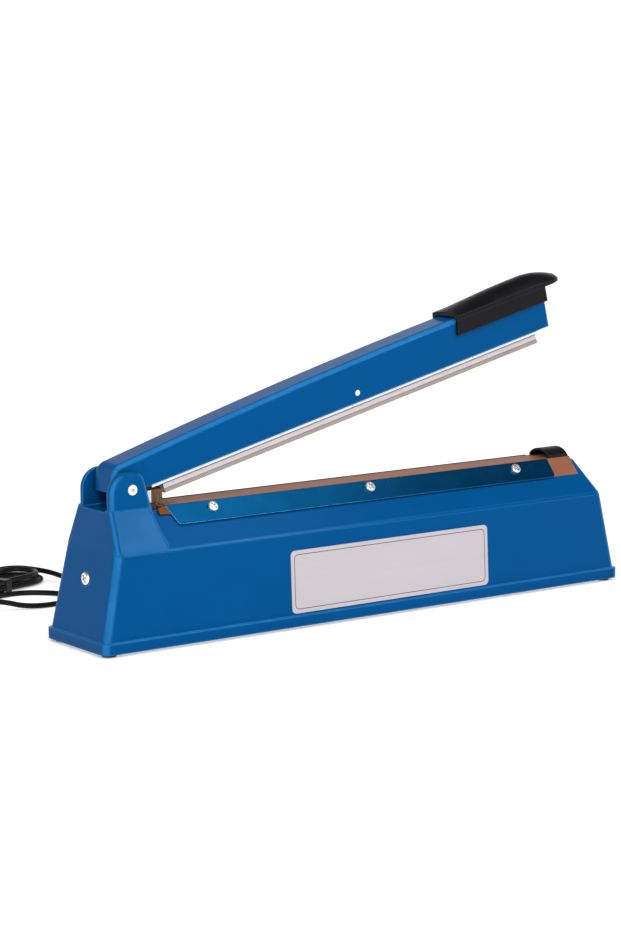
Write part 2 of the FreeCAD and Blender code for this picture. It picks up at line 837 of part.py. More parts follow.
def arm_shell():
    """The swinging arm: a channel open below, with bosses at its pivot."""
    body = side_profile(arm_outline(0), arm_half_width)
    top_edges = []
    for edge in body.Edges:
        box = edge.BoundBox
        flat = box.YLength < 0.01
        if flat and box.ZMin > arm_root_n - 1 and box.XLength > 1:
            top_edges.append(edge)
    body = body.makeFillet(arm_edge_radius, top_edges)
    body = body.cut(side_profile(arm_outline(arm_wall), arm_half_width - arm_wall))
    inner = arm_half_width - arm_wall
    for side in (-1, 1):
        start = inner - arm_boss_length
        boss = rod(V(pivot_s, side * start, pivot_n), V(0, side, 0), boss_outer_diameter,
                   ear_inner_half - ear_side_gap - start)
        body = body.fuse(boss)
    # The boss walls stop at the arm's own lower edge
    body = body.cut(block(-20, 20, -20, 20, arm_bottom_n - 20, arm_bottom_n))
    bore = rod(V(pivot_s, -20, pivot_n), V(0, 1, 0), pin_diameter + 2 * running_clearance, 40)
    pin_hole = rod(V(press_pin_s, -20, press_pin_n), V(0, 1, 0),
                   press_pin_diameter + 2 * screw_clearance, 40)
    screw_hole = rod(V(handle_screw_s, 0, arm_end_n - 8), V(0, 0, 1),
                     handle_screw_diameter + 2 * screw_clearance, 12)
    return body.cut([bore, pin_hole, screw_hole]).removeSplitter()


def pressure_bar():
    """The aluminium extrusion under the arm, with a slot for the rubber and a lug for its pin."""
    flange = block(flange_start_s, press_end_s, -flange_half, flange_half, flange_bottom_n, arm_bottom_n)
    neck = block(press_start_s, press_end_s, -groove_half, groove_half, groove_bottom_n, flange_bottom_n)
    bar = block(press_start_s, press_end_s, -press_half, press_half, press_bottom_n, groove_bottom_n)
    slot = block(press_start_s - 1, press_end_s + 1, -rubber_tongue_half - rubber_seat_gap,
                 rubber_tongue_half + rubber_seat_gap, press_bottom_n - 1,
                 press_bottom_n + rubber_tongue_height + rubber_seat_gap)
    lug = block(press_pin_s - lug_half_length, press_pin_s + lug_half_length, -lug_half_width,
                lug_half_width, arm_bottom_n, lug_top_n)
    hole = rod(V(press_pin_s, -20, press_pin_n), V(0, 1, 0), press_pin_diameter + 2 * screw_clearance, 40)
    return flange.fuse([neck, bar, lug]).cut([slot, hole]).removeSplitter()


def silicone_strip():
    """The soft strip that presses the bag on the tape, held by its tongue."""
    face = block(press_start_s, press_end_s, -rubber_half, rubber_half, rubber_bottom_n, press_bottom_n)
    tongue = block(press_start_s, press_end_s, -rubber_tongue_half, rubber_tongue_half,
                   press_bottom_n, press_bottom_n + rubber_tongue_height)
    return face.fuse(tongue).removeSplitter()


def pressure_bar_pin():
    """The cross pin that carries the pressure bar in the arm."""
    pin = rod(V(press_pin_s, -arm_half_width, press_pin_n), V(0, 1, 0), press_pin_diameter,
              2 * arm_half_width)
    heads = [rod(V(press_pin_s, side * arm_half_width, press_pin_n), V(0, side, 0), press_pin_diameter, 0.5)
             for side in (-1, 1)]
    return pin.fuse(heads).removeSplitter()


def arm_top_n(s):
    """The height of the arm's curved top at a place along it."""
    (x1, y1), (x2, y2), (x3, y3) = ((arm_shoulder_s, arm_shoulder_n), (arm_crown_s, arm_crown_n),
                                    (arm_length, arm_end_n))
    a, b = (y2 - y1) / (x2 - x1), (y3 - y2) / (x3 - x2)
    cx = (a * b * (y1 - y3) + b * (x1 + x2) - a * (x2 + x3)) / (2 * (b - a))
    cy = (y1 + y2) / 2 - (cx - (x1 + x2) / 2) / a
    radius = math.hypot(x1 - cx, y1 - cy)
    return cy + math.sqrt(radius ** 2 - (s - cx) ** 2)


def handle_row(place):
    """Points across the thumb rest's domed top at a place along it."""
    past = max(0.0, place - handle_round_start) / (handle_nose_reach - handle_round_start)
    half = (arm_half_width + handle_fit + handle_wall) * math.sqrt(1 - past ** handle_nose_power)
    back = place + handle_crown_back
    if back < 0:
        share = back / (handle_rows[0] + handle_crown_back)
        crown = handle_crown_n - (handle_crown_n - handle_start_n) * share ** 2
        side = handle_side_n
    else:
        share = back / (handle_tip_reach + handle_crown_back)
        crown = handle_crown_n - (handle_crown_n - handle_tip_n) * share ** 2
        side = handle_side_n - handle_tip_drop * share ** 2
    steps = [2 * k / handle_columns - 1 for k in range(handle_columns + 1)]
    return [V(arm_length + place, half * t, side + (crown - side) * (1 - t ** 2)) for t in steps]


def handle_dome():
    """The thumb rest's upper half: its domed top drawn straight down, cut off level."""
    surface = Part.BSplineSurface()
    surface.interpolate([handle_row(place) for place in handle_rows])
    depth = handle_crown_n - handle_skirt_n
    solid = surface.toShape().extrude(V(0, 0, -depth))
    far = arm_length + handle_tip_reach + 1
    half = arm_half_width + handle_fit + handle_wall + 1
    return solid.common(block(0, far, -half, half, handle_under_n, handle_crown_n + 1))


def handle_cap():
    """The black thumb rest: a cap over the arm's end with a domed top that runs out in a tongue."""
    fit = handle_fit
    end = arm_length + fit
    half = arm_half_width + fit + handle_wall
    side = half - handle_step
    skirt = block(handle_start_s, end + handle_wall / 2, -side, side, handle_skirt_n, handle_under_n + 1)
    low, high = handle_skirt_n, handle_crown_n
    near = handle_start_s - handle_back
    start = side_profile(polygon([(near, low - 1), (handle_start_s, low - 1), (handle_start_s, low),
                                  (handle_start_s + handle_lean, high), (near, high)]), half + 1)
    near, middle = handle_start_s - 1, (handle_start_s + end) / 2
    right, top, left = ((x, arm_top_n(x) + fit) for x in (end, middle, near))
    outline = [("line", (near, low - 1), (end, low - 1)), ("line", (end, low - 1), right),
               ("arc", right, top, left), ("line", left, (near, low - 1))]
    hollow = side_profile(outline, arm_half_width + fit)
    lip_half = arm_half_width - handle_lip_inset
    lip = block(near, near + handle_lip_length, -lip_half, lip_half, handle_under_n - handle_wall,
                left[1] + handle_lip_rise)
    hole = rod(V(handle_screw_s, 0, arm_end_n - 1), V(0, 0, 1), handle_screw_diameter, 4)
    return handle_dome().fuse(skirt).cut([start, hollow, lip, hole])


def handle_screw():
    """The screw from inside the arm that holds the handle."""
    seat = V(handle_screw_s, 0, arm_end_n - arm_wall - handle_screw_seat)
    head = rod(seat, V(0, 0, -1), handle_screw_head, handle_screw_head_height)
    return head.fuse(rod(seat, V(0, 0, 1), handle_screw_diameter, handle_screw_length))


def dome_height():
    """Height of the plunger's dome centre below the pivot with the arm open."""
    reach = flange_bottom_n - pivot_n - plunger_dome_radius - plunger_gap
    return (reach + plunger_arm_s * open_sin) / open_cos


def return_plunger():
    """The brown block that pushes the arm up and presses the switch."""
    centre_z = pivot_z + dome_height()
    h = plunger_half_x
    edge_z = centre_z + math.sqrt(plunger_dome_radius ** 2 - h ** 2)
    outline = [
        ("line", (plunger_x - h, plunger_bottom_z), (plunger_x + h, plunger_bottom_z)),
        ("line", (plunger_x + h, plunger_bottom_z), (plunger_x + h, edge_z)),
        ("arc", (plunger_x + h, edge_z), (plunger_x, centre_z + plunger_dome_radius),
         (plunger_x - h, edge_z)),
        ("line", (plunger_x - h, edge_z), (plunger_x - h, plunger_bottom_z)),
    ]
    body = side_profile(outline, plunger_half_y)
    spigot = rod(V(plunger_x, 0, plunger_bottom_z), V(0, 0, -1), spigot_diameter, spigot_height)
    x0, x1 = plunger_x - h, plunger_x + h
    near, far = plunger_half_y + tab_leg_gap, plunger_half_y + tab_leg_gap + tab_leg
    top_z = plunger_bottom_z + tab_thickness
    tab = block(x0, x1, near, plunger_half_y + tab_width, tab_bottom_z, tab_bottom_z + tab_thickness)
    leg = block(x0, x1, near, far, tab_bottom_z, top_z)
    bridge = block(x0, x1, 0, far, plunger_bottom_z, top_z)
    return body.fuse([spigot, tab, leg, bridge]).removeSplitter()


def plunger_bracket():
    """A bent steel bridge inside the base that carries the spring and the switch."""
    low = plate_top_z
    top = block(plunger_x - bracket_half_x, plunger_x + bracket_half_x, -bracket_half_y, bracket_half_y,
                bracket_top_z - bracket_sheet, bracket_top_z)
    legs = []
    for side in (-1, 1):
        x = plunger_x + side * (bracket_half_x - bracket_sheet / 2)
        legs.append(block(x - bracket_sheet / 2, x + bracket_sheet / 2, -bracket_half_y, bracket_half_y,
                          low, bracket_top_z))
        foot = plunger_x + side * (bracket_half_x + 4)
        legs.append(block(foot - 5, foot + 5, -bracket_half_y, bracket_half_y, low, low + bracket_sheet))
    spigot = rod(V(plunger_x, 0, bracket_top_z), V(0, 0, 1), spigot_diameter, spigot_height)
    return top.fuse(legs + [spigot]).removeSplitter()


def biarc(p0, t0, p1, t1):
    """Two arcs that leave p0 along t0 and reach p1 along t1, as edges."""
    v = p1 - p0
    t = t0 + t1
    vt = v.dot(t)
    k = 2 * (1 - t0.dot(t1))
    if k < 1e-9:
        d = v.dot(v) / (4 * v.dot(t1))
    else:
        d = (-vt + math.sqrt(vt * vt + k * v.dot(v))) / k
    joint = (p0 + t0 * d + p1 - t1 * d) * 0.5
    return [arc_from(p0, t0, joint), arc_from(p1, t1 * -1, joint)]


def arc_from(start, tangent, end):
    """The arc that leaves start along tangent and ends at end."""
    chord = end - start
    along = chord.dot(tangent) / chord.Length
    across = tangent - chord * (along / chord.Length)
    if across.Length < 1e-7:
        return Part.LineSegment(start, end).toShape()
    across.normalize()
    half_turn = math.acos(max(-1.0, min(1.0, along)))
    middle = start + chord * 0.5 + across * (chord.Length / 2 * math.tan(half_turn / 2))
    return Part.Arc(start, middle, end).toShape()


def tube(wire, start, direction, diameter):
    """A round tube along a wire."""
    circle = Part.Wire([Part.Circle(start, direction, diameter / 2).toShape()])
    maker = Part.BRepOffsetAPI.MakePipeShell(wire)
    maker.add(circle)
    maker.build()
    maker.makeSolid()
    return maker.shape()


def curve_wire(path, steps):
    """A wire of biarcs through a formula's points, with tangents from the formula."""
    def tangent(t):
        d = path(t + 1e-4) - path(t - 1e-4)
        return d.normalize()

    edges = []
    for a, b in zip(steps, steps[1:]):
        edges += biarc(path(a), tangent(a), path(b), tangent(b))
    return Part.Wire(Part.__sortEdges__(edges)), path(steps[0]), tangent(steps[0])


def return_spring():
    """The compression spring between the bracket and the plunger."""
    low = bracket_top_z + spring_seat_gap + spring_wire / 2
    high = plunger_bottom_z - spring_seat_gap - spring_wire / 2

    def path(t):
        a = 2 * math.pi * t
        r = spring_mean_radius
        return V(plunger_x + r * math.cos(a), r * math.sin(a), low + (high - low) * t / spring_turns)

    steps = [k / 4 for k in range(4 * spring_turns + 1)]
    wire, start, direction = curve_wire(path, steps)
    return tube(wire, start, direction, spring_wire)


def microswitch_body():
    """The snap switch on the bracket, with a well for its button."""
    y0 = switch_offset_y
    body = block(plunger_x - switch_length / 2, plunger_x + switch_length / 2, y0, y0 + switch_width,
                 bracket_top_z, bracket_top_z + switch_height)
    f = button_fit
    top = bracket_top_z + switch_height
    y = y0 + switch_width / 2
    well = block(plunger_x - button_length / 2 - f, plunger_x + button_length / 2 + f,
                 y - button_width / 2 - f, y + button_width / 2 + f, top - button_depth - 2, top + 1)
    pins = []
    for k in (-1, 0, 1):
        x = plunger_x + k * switch_pin_pitch
        pins.append(block(x - switch_pin_width / 2, x + switch_pin_width / 2, y0 + switch_width,
                          y0 + switch_width + switch_pin_length, bracket_top_z + switch_pin_rise,
                          bracket_top_z + switch_pin_rise + switch_pin_sheet))
    return body.cut(well).fuse(pins)


def microswitch_button():
    """The small plunger of the snap switch."""
    top = bracket_top_z + switch_height
    y = switch_offset_y + switch_width / 2
    return block(plunger_x - button_length / 2, plunger_x + button_length / 2, y - button_width / 2,
                 y + button_width / 2, top - button_depth, top + button_rise)


def timer_knob():
    """The ribbed timer knob on the back face."""
    n = back_normal()
    seat = back_point(knob_x, knob_z, knob_face_gap + bush_nut_height)
    lift = back_point(knob_x, knob_z, knob_face_gap)
    body = rod(lift, n, knob_diameter, knob_height)
    rim = [e for e in body.Edges if (e.BoundBox.Center - lift).dot(n) > knob_height * 0.8
           and (e.BoundBox.Center - lift).dot(n) < knob_height * 1.2]
    body = body.makeFillet(1.2, rim)
    grooves = []
    for k in range(knob_ribs):
        a = 360.0 * k / knob_ribs
        out = (FreeCAD.Rotation(n, a).multVec(V(1, 0, 0))) * (knob_diameter / 2 + 0.5)
        grooves.append(rod(lift + out + n * 2.0, n, 2 * (0.5 + knob_rib_depth), knob_height))
    well = rod(lift - n, n, bush_diameter + 4.0, bush_nut_height + knob_face_gap + 1.2)
    bore = rod(seat - n, n, shaft_diameter + 0.02, knob_height - 4.5)
    mark = rod(lift + n * (knob_height - 0.6) + V(knob_diameter * 0.36, 0, 0), n, 1.8, 2)
    return body.cut(grooves + [well, bore, mark])


def timer_shaft():
    """The spindle that the knob turns in the timer."""
    n = back_normal()
    start = back_point(knob_x, knob_z, -wall - 4.0)
    return rod(start, n, shaft_diameter, wall + 4.0 + knob_face_gap + bush_nut_height + knob_height - 6.0)


def timer_potentiometer():
    """The timer's potentiometer behind the wall, with its threaded bush and nut."""
    n = back_normal()
    inside = back_point(knob_x, knob_z, -wall - pot_seat_gap)
    can = rod(inside, n * -1, pot_diameter, pot_depth)
    bush = rod(inside, n, bush_diameter, wall + pot_seat_gap + bush_nut_height)
    nut = rod(back_point(knob_x, knob_z, 0), n, bush_diameter + 3.0, bush_nut_height * 0.9)
    bore = rod(back_point(knob_x, knob_z, -wall - 4.2), n, shaft_diameter + 2 * running_clearance, 20)
    return can.fuse([bush, nut]).cut(bore)


def timer_board():
    """The timer's circuit board behind the potentiometer."""
    n = back_normal()
    centre = back_point(knob_x, knob_z, -wall - pot_seat_gap - pot_depth - board_thickness)
    x0 = centre.x - board_length / 2
    board = Part.makeBox(board_length, board_thickness, board_height,
                         V(x0, 0, -board_height / 2))
    board.rotate(V(0, 0, 0), V(1, 0, 0), math.degrees(math.atan2(n.z, n.y)))
    board.translate(V(0, centre.y, centre.z))
    parts = []
    for dx, dz, d, h in board_parts:
        foot = centre + V(dx, 0, dz) - V(0, dz * n.z / n.y, 0)
        parts.append(rod(foot, n * -1, d, h))
    return board.fuse(parts)


def indicator_lamp():
    """The round lamp beside the knob."""
    n = back_normal()
    body = rod(back_point(lamp_x, knob_z, -lamp_depth), n, lamp_diameter, lamp_depth)
    lip = rod(back_point(lamp_x, knob_z, 0), n, lamp_diameter + 3.0, 1.0)
    dome = rod(back_point(lamp_x, knob_z, 1.0), n, lamp_diameter - 1.0, lamp_rise)
    centre = back_point(lamp_x, knob_z, 1.0 + lamp_rise)
    rim = [e for e in dome.Edges if (e.BoundBox.Center - centre).Length < 0.3]
    dome = dome.makeFillet(lamp_rise * 0.6, rim)
    return body.fuse([lip, dome])


def transformer_core():
    """The stack of steel sheets with two windows for the coil."""
    low = plate_top_z
    core = block(transformer_x - core_length / 2, transformer_x + core_length / 2, -core_width / 2,
                 core_width / 2, low, low + core_height)
    leg = core_length / 6
    windows = []
    for side in (-1, 1):
        x = transformer_x + side * (leg + core_window_length / 2)
        windows.append(block(x - core_window_length / 2, x + core_window_length / 2, -core_width,
                             core_width, low + (core_height - core_window_height) / 2,
                             low + (core_height + core_window_height) / 2))
    return core.cut(windows)


def transformer_coil():
    """The wound bobbin on the core's middle leg."""
    low = plate_top_z + (core_height - core_window_height) / 2 + coil_fit
    high = plate_top_z + (core_height + core_window_height) / 2 - coil_fit
    leg = core_length / 6
    reach = leg + core_window_length - coil_fit
    out = core_width / 2 + coil_overhang
    body = block(transformer_x - reach, transformer_x + reach, -out, out, low, high)
    hole = block(transformer_x - leg - coil_fit, transformer_x + leg + coil_fit, -core_width / 2 - coil_fit,
                 core_width / 2 + coil_fit, low - 1, high + 1)
    upright = [e for e in body.Edges if e.BoundBox.ZLength > 10]
    return body.makeFillet(3.0, upright).cut(hole)


def transformer_strap():
    """The steel strap that holds the transformer on the bottom plate."""
    t = strap_sheet
    low = plate_top_z
    x0 = transformer_x - core_length / 2
    x1 = transformer_x + core_length / 2
    top = low + core_height
    half = core_width / 2 - strap_inset
    pieces = [
        block(x0 - t, x1 + t, -half, half, top, top + t),
        block(x0 - t, x0, -half, half, low, top + t),
        block(x1, x1 + t, -half, half, low, top + t),
        block(x0 - strap_foot, x0, -half, half, low, low + t),
        block(x1, x1 + strap_foot, -half, half, low, low + t),
    ]
    return pieces[0].fuse(pieces[1:]).removeSplitter()


def cord_gland():
    """The tapered strain relief where the cord leaves the back face."""
    n = back_normal()
    flange = rod(back_point(gland_x, gland_z, 0), n, gland_flange_diameter, gland_flange_thickness)
    plug = rod(back_point(gland_x, gland_z, -wall - 2), n, gland_root_diameter, wall + 2)
    taper = Part.makeCone(gland_root_diameter / 2, gland_tip_diameter / 2, gland_length,
                          back_point(gland_x, gland_z, gland_flange_thickness), n)
    return flange.fuse([plug, taper]).removeSplitter()


def gland_tip():
    """Where the cord leaves the strain relief."""
    return back_point(gland_x, gland_z, gland_flange_thickness + gland_length)


def hank_path(t):
    """The hank's centre line after t turns: in on the upper layer, out again on the lower one."""
    nominal = hank_end_radius + hank_pitch
    run = 2 * hank_half_run
    bend = math.pi * nominal
    along = (t % 1.0) * 2 * (run + bend)
    radius = hank_end_radius + hank_pitch * abs(t - hank_reversal)
    if along < run:
        u, v = -hank_half_run + along, -radius
    elif along < run + bend:
        a = (along - run) / nominal
        u, v = hank_half_run + radius * math.sin(a), -radius * math.cos(a)
    elif along < 2 * run + bend:
        u, v = hank_half_run - (along - run - bend), radius
    else:
        a = (along - 2 * run - bend) / nominal
        u, v = -hank_half_run - radius * math.sin(a), radius * math.cos(a)
    if abs(u) < hank_half_run:
        v -= math.copysign(hank_waist, v) * math.cos(math.pi * u / run) ** 2
    lower = cord_radius + tie_thickness + tie_gap / 4
    climb = (t - hank_reversal) * 2 * (run + bend) / run
    blend = min(1.0, max(0.0, climb))
    z = lower + hank_layer * (1 - 3 * blend ** 2 + 2 * blend ** 3)
    return hank_place(u, v, z)


def hank_place(u, v, z):
    """A point given along and across the hank."""
    c, d = math.cos(math.radians(hank_angle)), math.sin(math.radians(hank_angle))
    return V(hank_centre.x + u * c - v * d, hank_centre.y + u * d + v * c, z)


def hank_steps():
    """The turns at which the hank's arcs meet: four to a run and two to a bend."""
    run = 2 * hank_half_run
    bend = math.pi * (hank_end_radius + hank_pitch)
    turn = 2 * (run + bend)
    marks = [run * k / 4 for k in range(4)] + [run, run + bend / 2]
    marks += [turn / 2 + m for m in marks]
    start = (run + bend / 2) / turn
    steps = [k + m / turn for k in range(hank_end_turn) for m in marks]
    return [t for t in steps if t > start - 1e-6] + [float(hank_end_turn)]


def cord_hank():
    """The put away length of cord, wound into a flat hank of two layers."""
    wire, start, direction = curve_wire(hank_path, hank_steps())
    report_gap(wire)
    return checked_tube("hank", wire, start, direction)


def report_gap(wire):
    """Prints the least gap between the hank's turns, measured on points along it."""
    points = wire.discretize(Distance=2.0)
    least = 1e9
    skip = int(8 * cord_diameter / 2.0)
    for i, a in enumerate(points):
        for b in points[i + skip:]:
            least = min(least, (a - b).Length)
    print("hank least self gap", round(least - cord_diameter, 2), "length", round(wire.Length, 1))


def checked_tube(name, wire, start, direction):
    """A cord's tube, with its volume set against its section times its length."""
    shape = tube(wire, start, direction, cord_diameter)
    ideal = math.pi * cord_radius ** 2 * wire.Length
    print(name, "length", round(wire.Length, 1), "volume ratio", round(shape.Volume / ideal, 4))
    return shape


def route_wire(name, points):
    """Straight runs with tangent arcs as large as the runs allow."""
    edges = []
    radii = []
    here = points[0]
    for before, corner, after in zip(points, points[1:], points[2:]):
        a, b = (before - corner), (after - corner)
        shorter = min(a.Length, b.Length) * 0.45
        a.normalize()
        b.normalize()
        half_turn = (math.pi - math.acos(max(-1.0, min(1.0, a.dot(b))))) / 2
        radii.append(shorter / math.tan(half_turn))
        first, last = corner + a * shorter, corner + b * shorter
        inward = a + b
        inward.normalize()
        rise = radii[-1] / math.cos(half_turn) - radii[-1]
        edges.append(Part.LineSegment(here, first).toShape())
        edges.append(Part.Arc(first, corner + inward * rise, last).toShape())
        here = last
    edges.append(Part.LineSegment(here, points[-1]).toShape())
    print(name, "radii", [round(r, 1) for r in radii])
    return Part.Wire(edges)


def lead_points():
    """The lead's route: out of the strain relief, down to the floor and back to the hank."""
    n = back_normal()
    exit_point = gland_tip()
    start, direction = curve_wire(hank_path, hank_steps()[:2])[1:]
    first = [exit_point, exit_point + n * lead_straight]
    return first + [V(*p) for p in lead_route] + [start - direction * lead_straight, start]


def tail_points():
    """The tail's route: away from the hank, round a loop on the floor and to the plug."""
    steps = hank_steps()
    end = hank_path(steps[-1])
    along = hank_place(1, 0, 0) - hank_place(0, 0, 0)
    z = cord_radius
    first = end + along * tail_straight
    first.z = (end.z + z) / 2
    return [end, first] + [V(x, y, z) for x, y in tail_route] + tail_rise() + [plug_entry()]


def plug_entry():
    """Where the cord goes into the plug."""
    return V(*plug_entry_place, plug_height / 2)


def plug_axis():
    """The way that the plug points on the floor: on from the cord's last run."""
    return (plug_entry() - tail_rise()[-1]).normalize()


def tail_rise():
    """The tail's last points, where the cord lifts off the floor to the middle of the plug."""
    z = cord_radius
    rise = plug_entry().z - z
    return [V(x, y, z + rise * part) for x, y, part in tail_lift]


def cord_lead():
    """The cord from the strain relief to the hank."""
    points = lead_points()
    wire = route_wire("lead", points)
    return checked_tube("lead", wire, points[0], points[1] - points[0])


def cord_tail():
    """The cord from the hank to the plug."""
    points = tail_points()
    wire = route_wire("tail", points)
    return checked_tube("tail", wire, points[0], points[1] - points[0])


def cord_tie():
    """The flat tie round the hank's waist."""
    w = tie_width / 2
    half = hank_end_radius + hank_pitch * (hank_end_turn - hank_reversal) - hank_waist + cord_radius
    half += tie_gap
    top = tie_thickness + tie_gap / 4 + 2 * cord_radius + hank_layer + tie_gap
    band = block(-w, w, -half - tie_thickness, half + tie_thickness, 0, top + tie_thickness)
    sides = [e for e in band.Edges if e.BoundBox.XLength > w]
    band = band.makeFillet(tie_thickness * 1.5, sides)
    band = band.cut(block(-w - 1, w + 1, -half, half, tie_thickness, top))
    band.rotate(V(0, 0, 0), V(0, 0, 1), hank_angle)
    band.translate(hank_centre)
    return band


def plug_body():
    """The moulded plug: a tapered grip that lies on the floor."""
    n, w, h = plug_nose, plug_width / 2, plug_height / 2
    nose = frustum(plug_section(0, cord_diameter * 0.9, cord_diameter * 0.5), plug_section(n, w * 0.7, h))
    body = frustum(plug_section(n, w * 0.7, h), plug_section(plug_length, w, h))
    return place_plug(nose.fuse(body).removeSplitter())


def plug_section(x, half_y, half_z):
    """A rectangle with round corners square to the plug's axis, resting at the same height."""
    wire = rounded_outline(-half_z, half_z, half_y, 0, half_z * 0.45)
    wire.rotate(V(0, 0, 0), V(0, 1, 0), 90)
    wire.translate(V(x, 0, 0))
    return wire


def place_plug(shape):
    """Puts a plug shape at the end of the tail, lying on the floor."""
    axis = plug_axis()
    shape.rotate(V(0, 0, 0), V(0, 0, 1), math.degrees(math.atan2(axis.y, axis.x)))
    shape.translate(plug_entry())
    return shape


def plug_pins():
    """Two round contact pins."""
    pins = []
    for side in (-1, 1):
        pin = rod(V(plug_length, side * plug_pin_pitch / 2, 0), V(1, 0, 0), plug_pin_diameter,
                  plug_pin_length)
        tip = [e for e in pin.Edges if e.BoundBox.XMin > plug_length + plug_pin_length - 0.01]
        pins.append(place_plug(pin.makeFillet(plug_pin_diameter * 0.35, tip)))
    return Part.makeCompound(pins)


def footprint_y():
    """The middle of the footprint from front to back, knob included: the origin lies there."""
    tip = back_point(knob_x, knob_z, knob_face_gap + knob_height)
    return (tip.y + back_normal().z * knob_diameter / 2 - half_width) / 2


def main():
    """Builds every piece and writes one file for each."""
    os.makedirs("parts", exist_ok=True)
    pieces = {
        "base_housing": base_housing(),
        "bottom_plate": bottom_plate(),
        "bottom_plate_screws": base_screws(),
        "rubber_feet": rubber_feet(),
        "hinge_pin": hinge_pin(),
        "end_screw": end_screw(),
        "sealing_bar": sealing_bar(),
        "element_insulation": element_insulation(),
        "heating_element": heating_element(),
        "end_blocks": end_blocks(),
        "element_terminals": element_terminals(),
        "ptfe_tape": ptfe_tape(),
        "front_clamp_plate": clamp_plate(-1),
        "rear_clamp_plate": clamp_plate(1),
        "front_clamp_screws": clamp_screws(-1),
        "rear_clamp_screws": clamp_screws(1),
        "bar_end_cap": bar_end_cap(),
        "arm_shell": to_open(arm_shell()),
        "pressure_bar": to_open(pressure_bar()),
        "silicone_strip": to_open(silicone_strip()),
        "pressure_bar_pin": to_open(pressure_bar_pin()),
        "handle_cap": to_open(handle_cap()),
        "handle_screw": to_open(handle_screw()),
        "return_plunger": return_plunger(),
        "plunger_bracket": plunger_bracket(),
        "return_spring": return_spring(),
        "microswitch_body": microswitch_body(),
        "microswitch_button": microswitch_button(),
        "timer_knob": timer_knob(),
        "timer_shaft": timer_shaft(),
        "timer_potentiometer": timer_potentiometer(),
        "timer_board": timer_board(),
        "indicator_lamp": indicator_lamp(),
        "transformer_core": transformer_core(),
        "transformer_coil": transformer_coil(),
        "transformer_strap": transformer_strap(),
        "cord_gland": cord_gland(),
        "cord_lead": cord_lead(),
        "cord_hank": cord_hank(),
        "cord_tie": cord_tie(),
        "cord_tail": cord_tail(),
        "plug_body": plug_body(),
        "plug_pins": plug_pins(),
    }
    for name, shape in pieces.items():
        print(name, "valid", shape.isValid(), "volume", round(shape.Volume, 1), "solids", len(shape.Solids))
        shape.translate(V(0, -footprint_y(), 0))
        shape.exportStep("parts/" + name + ".step")


main()
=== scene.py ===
import math

import bmesh
import bpy
from mathutils import Matrix, Vector


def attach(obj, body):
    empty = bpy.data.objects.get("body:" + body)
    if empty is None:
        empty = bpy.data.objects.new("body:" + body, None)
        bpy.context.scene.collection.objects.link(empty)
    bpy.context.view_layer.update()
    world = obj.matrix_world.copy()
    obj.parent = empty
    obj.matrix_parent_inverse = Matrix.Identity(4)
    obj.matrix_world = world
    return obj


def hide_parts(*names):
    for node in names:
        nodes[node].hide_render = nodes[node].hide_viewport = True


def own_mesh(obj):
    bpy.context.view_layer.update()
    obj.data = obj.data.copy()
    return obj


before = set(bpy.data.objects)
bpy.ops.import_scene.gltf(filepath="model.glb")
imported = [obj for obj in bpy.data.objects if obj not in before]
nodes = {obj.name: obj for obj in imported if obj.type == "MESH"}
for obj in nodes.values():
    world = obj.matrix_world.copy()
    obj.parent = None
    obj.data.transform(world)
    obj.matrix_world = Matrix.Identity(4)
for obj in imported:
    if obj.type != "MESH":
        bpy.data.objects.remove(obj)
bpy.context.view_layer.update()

# Places are in the source's millimetres. The frame's origin lies this far behind the source's.
MM = 0.001
SHIFT_Y = 4.5175


def at(x, y, z):
    """A point given in the source's millimetres."""
    return Vector((x * MM, (y - SHIFT_Y) * MM, z * MM))


# Arm frame: s along the arm, n square to it, turned up by the open angle
ARM_X, ARM_Z = -177.4, 99.7
ARM_OPEN = math.radians(13.5)
ARM_COS, ARM_SIN = math.cos(ARM_OPEN), math.sin(ARM_OPEN)
ARM_NORMAL = (-ARM_SIN, 0.0, ARM_COS)


def on_arm(s, y, n):
    """A point given in the arm's own places, with the arm open."""
    return at(ARM_X + s * ARM_COS - n * ARM_SIN, y, ARM_Z + s * ARM_SIN + n * ARM_COS)


def add_object(name, data):
    """A new object in the scene."""
    obj = bpy.data.objects.new(name, data)
    bpy.context.scene.collection.objects.link(obj)
    return obj


# Camera at the photograph's viewing angle
CAMERA_PLACE = (-1131.4, -1506.6, 400.2)
CAMERA_RIGHT = (0.8071, -0.5905, 0.0)
CAMERA_FORWARD = (0.5829, 0.7967, -0.1595)
CAMERA_LENS, SENSOR_HEIGHT = 112.43, 36.0
CAMERA_REACH = 500.0


def add_camera():
    """A camera whose sensor height sets its view."""
    data = bpy.data.cameras.new("camera")
    data.sensor_fit = "VERTICAL"
    data.sensor_height = SENSOR_HEIGHT
    data.lens = CAMERA_LENS
    data.clip_end = CAMERA_REACH
    right = Vector(CAMERA_RIGHT).normalized()
    forward = Vector(CAMERA_FORWARD).normalized()
    up = right.cross(forward).normalized()
    turn = Matrix((right, up, -forward)).transposed().to_4x4()
    camera = add_object("camera", data)
    camera.matrix_world = Matrix.Translation(at(*CAMERA_PLACE)) @ turn
    return camera


bpy.context.scene.camera = add_camera()
bpy.context.scene.view_settings.view_transform = "Standard"


# Materials
# Noise mostly lies between the first and the last of these
NOISE_LOW, NOISE_MIDDLE, NOISE_HIGH = 0.3, 0.5, 0.7
# Dot product of the true and the rounded normal, off an edge and on it
EDGE_NONE, EDGE_FULL = 0.9992, 0.965
# Product of two parts of a normal, off a corner and on it
CORNER_NONE, CORNER_FULL = 0.1, 0.42
MASK_SAMPLES = 8


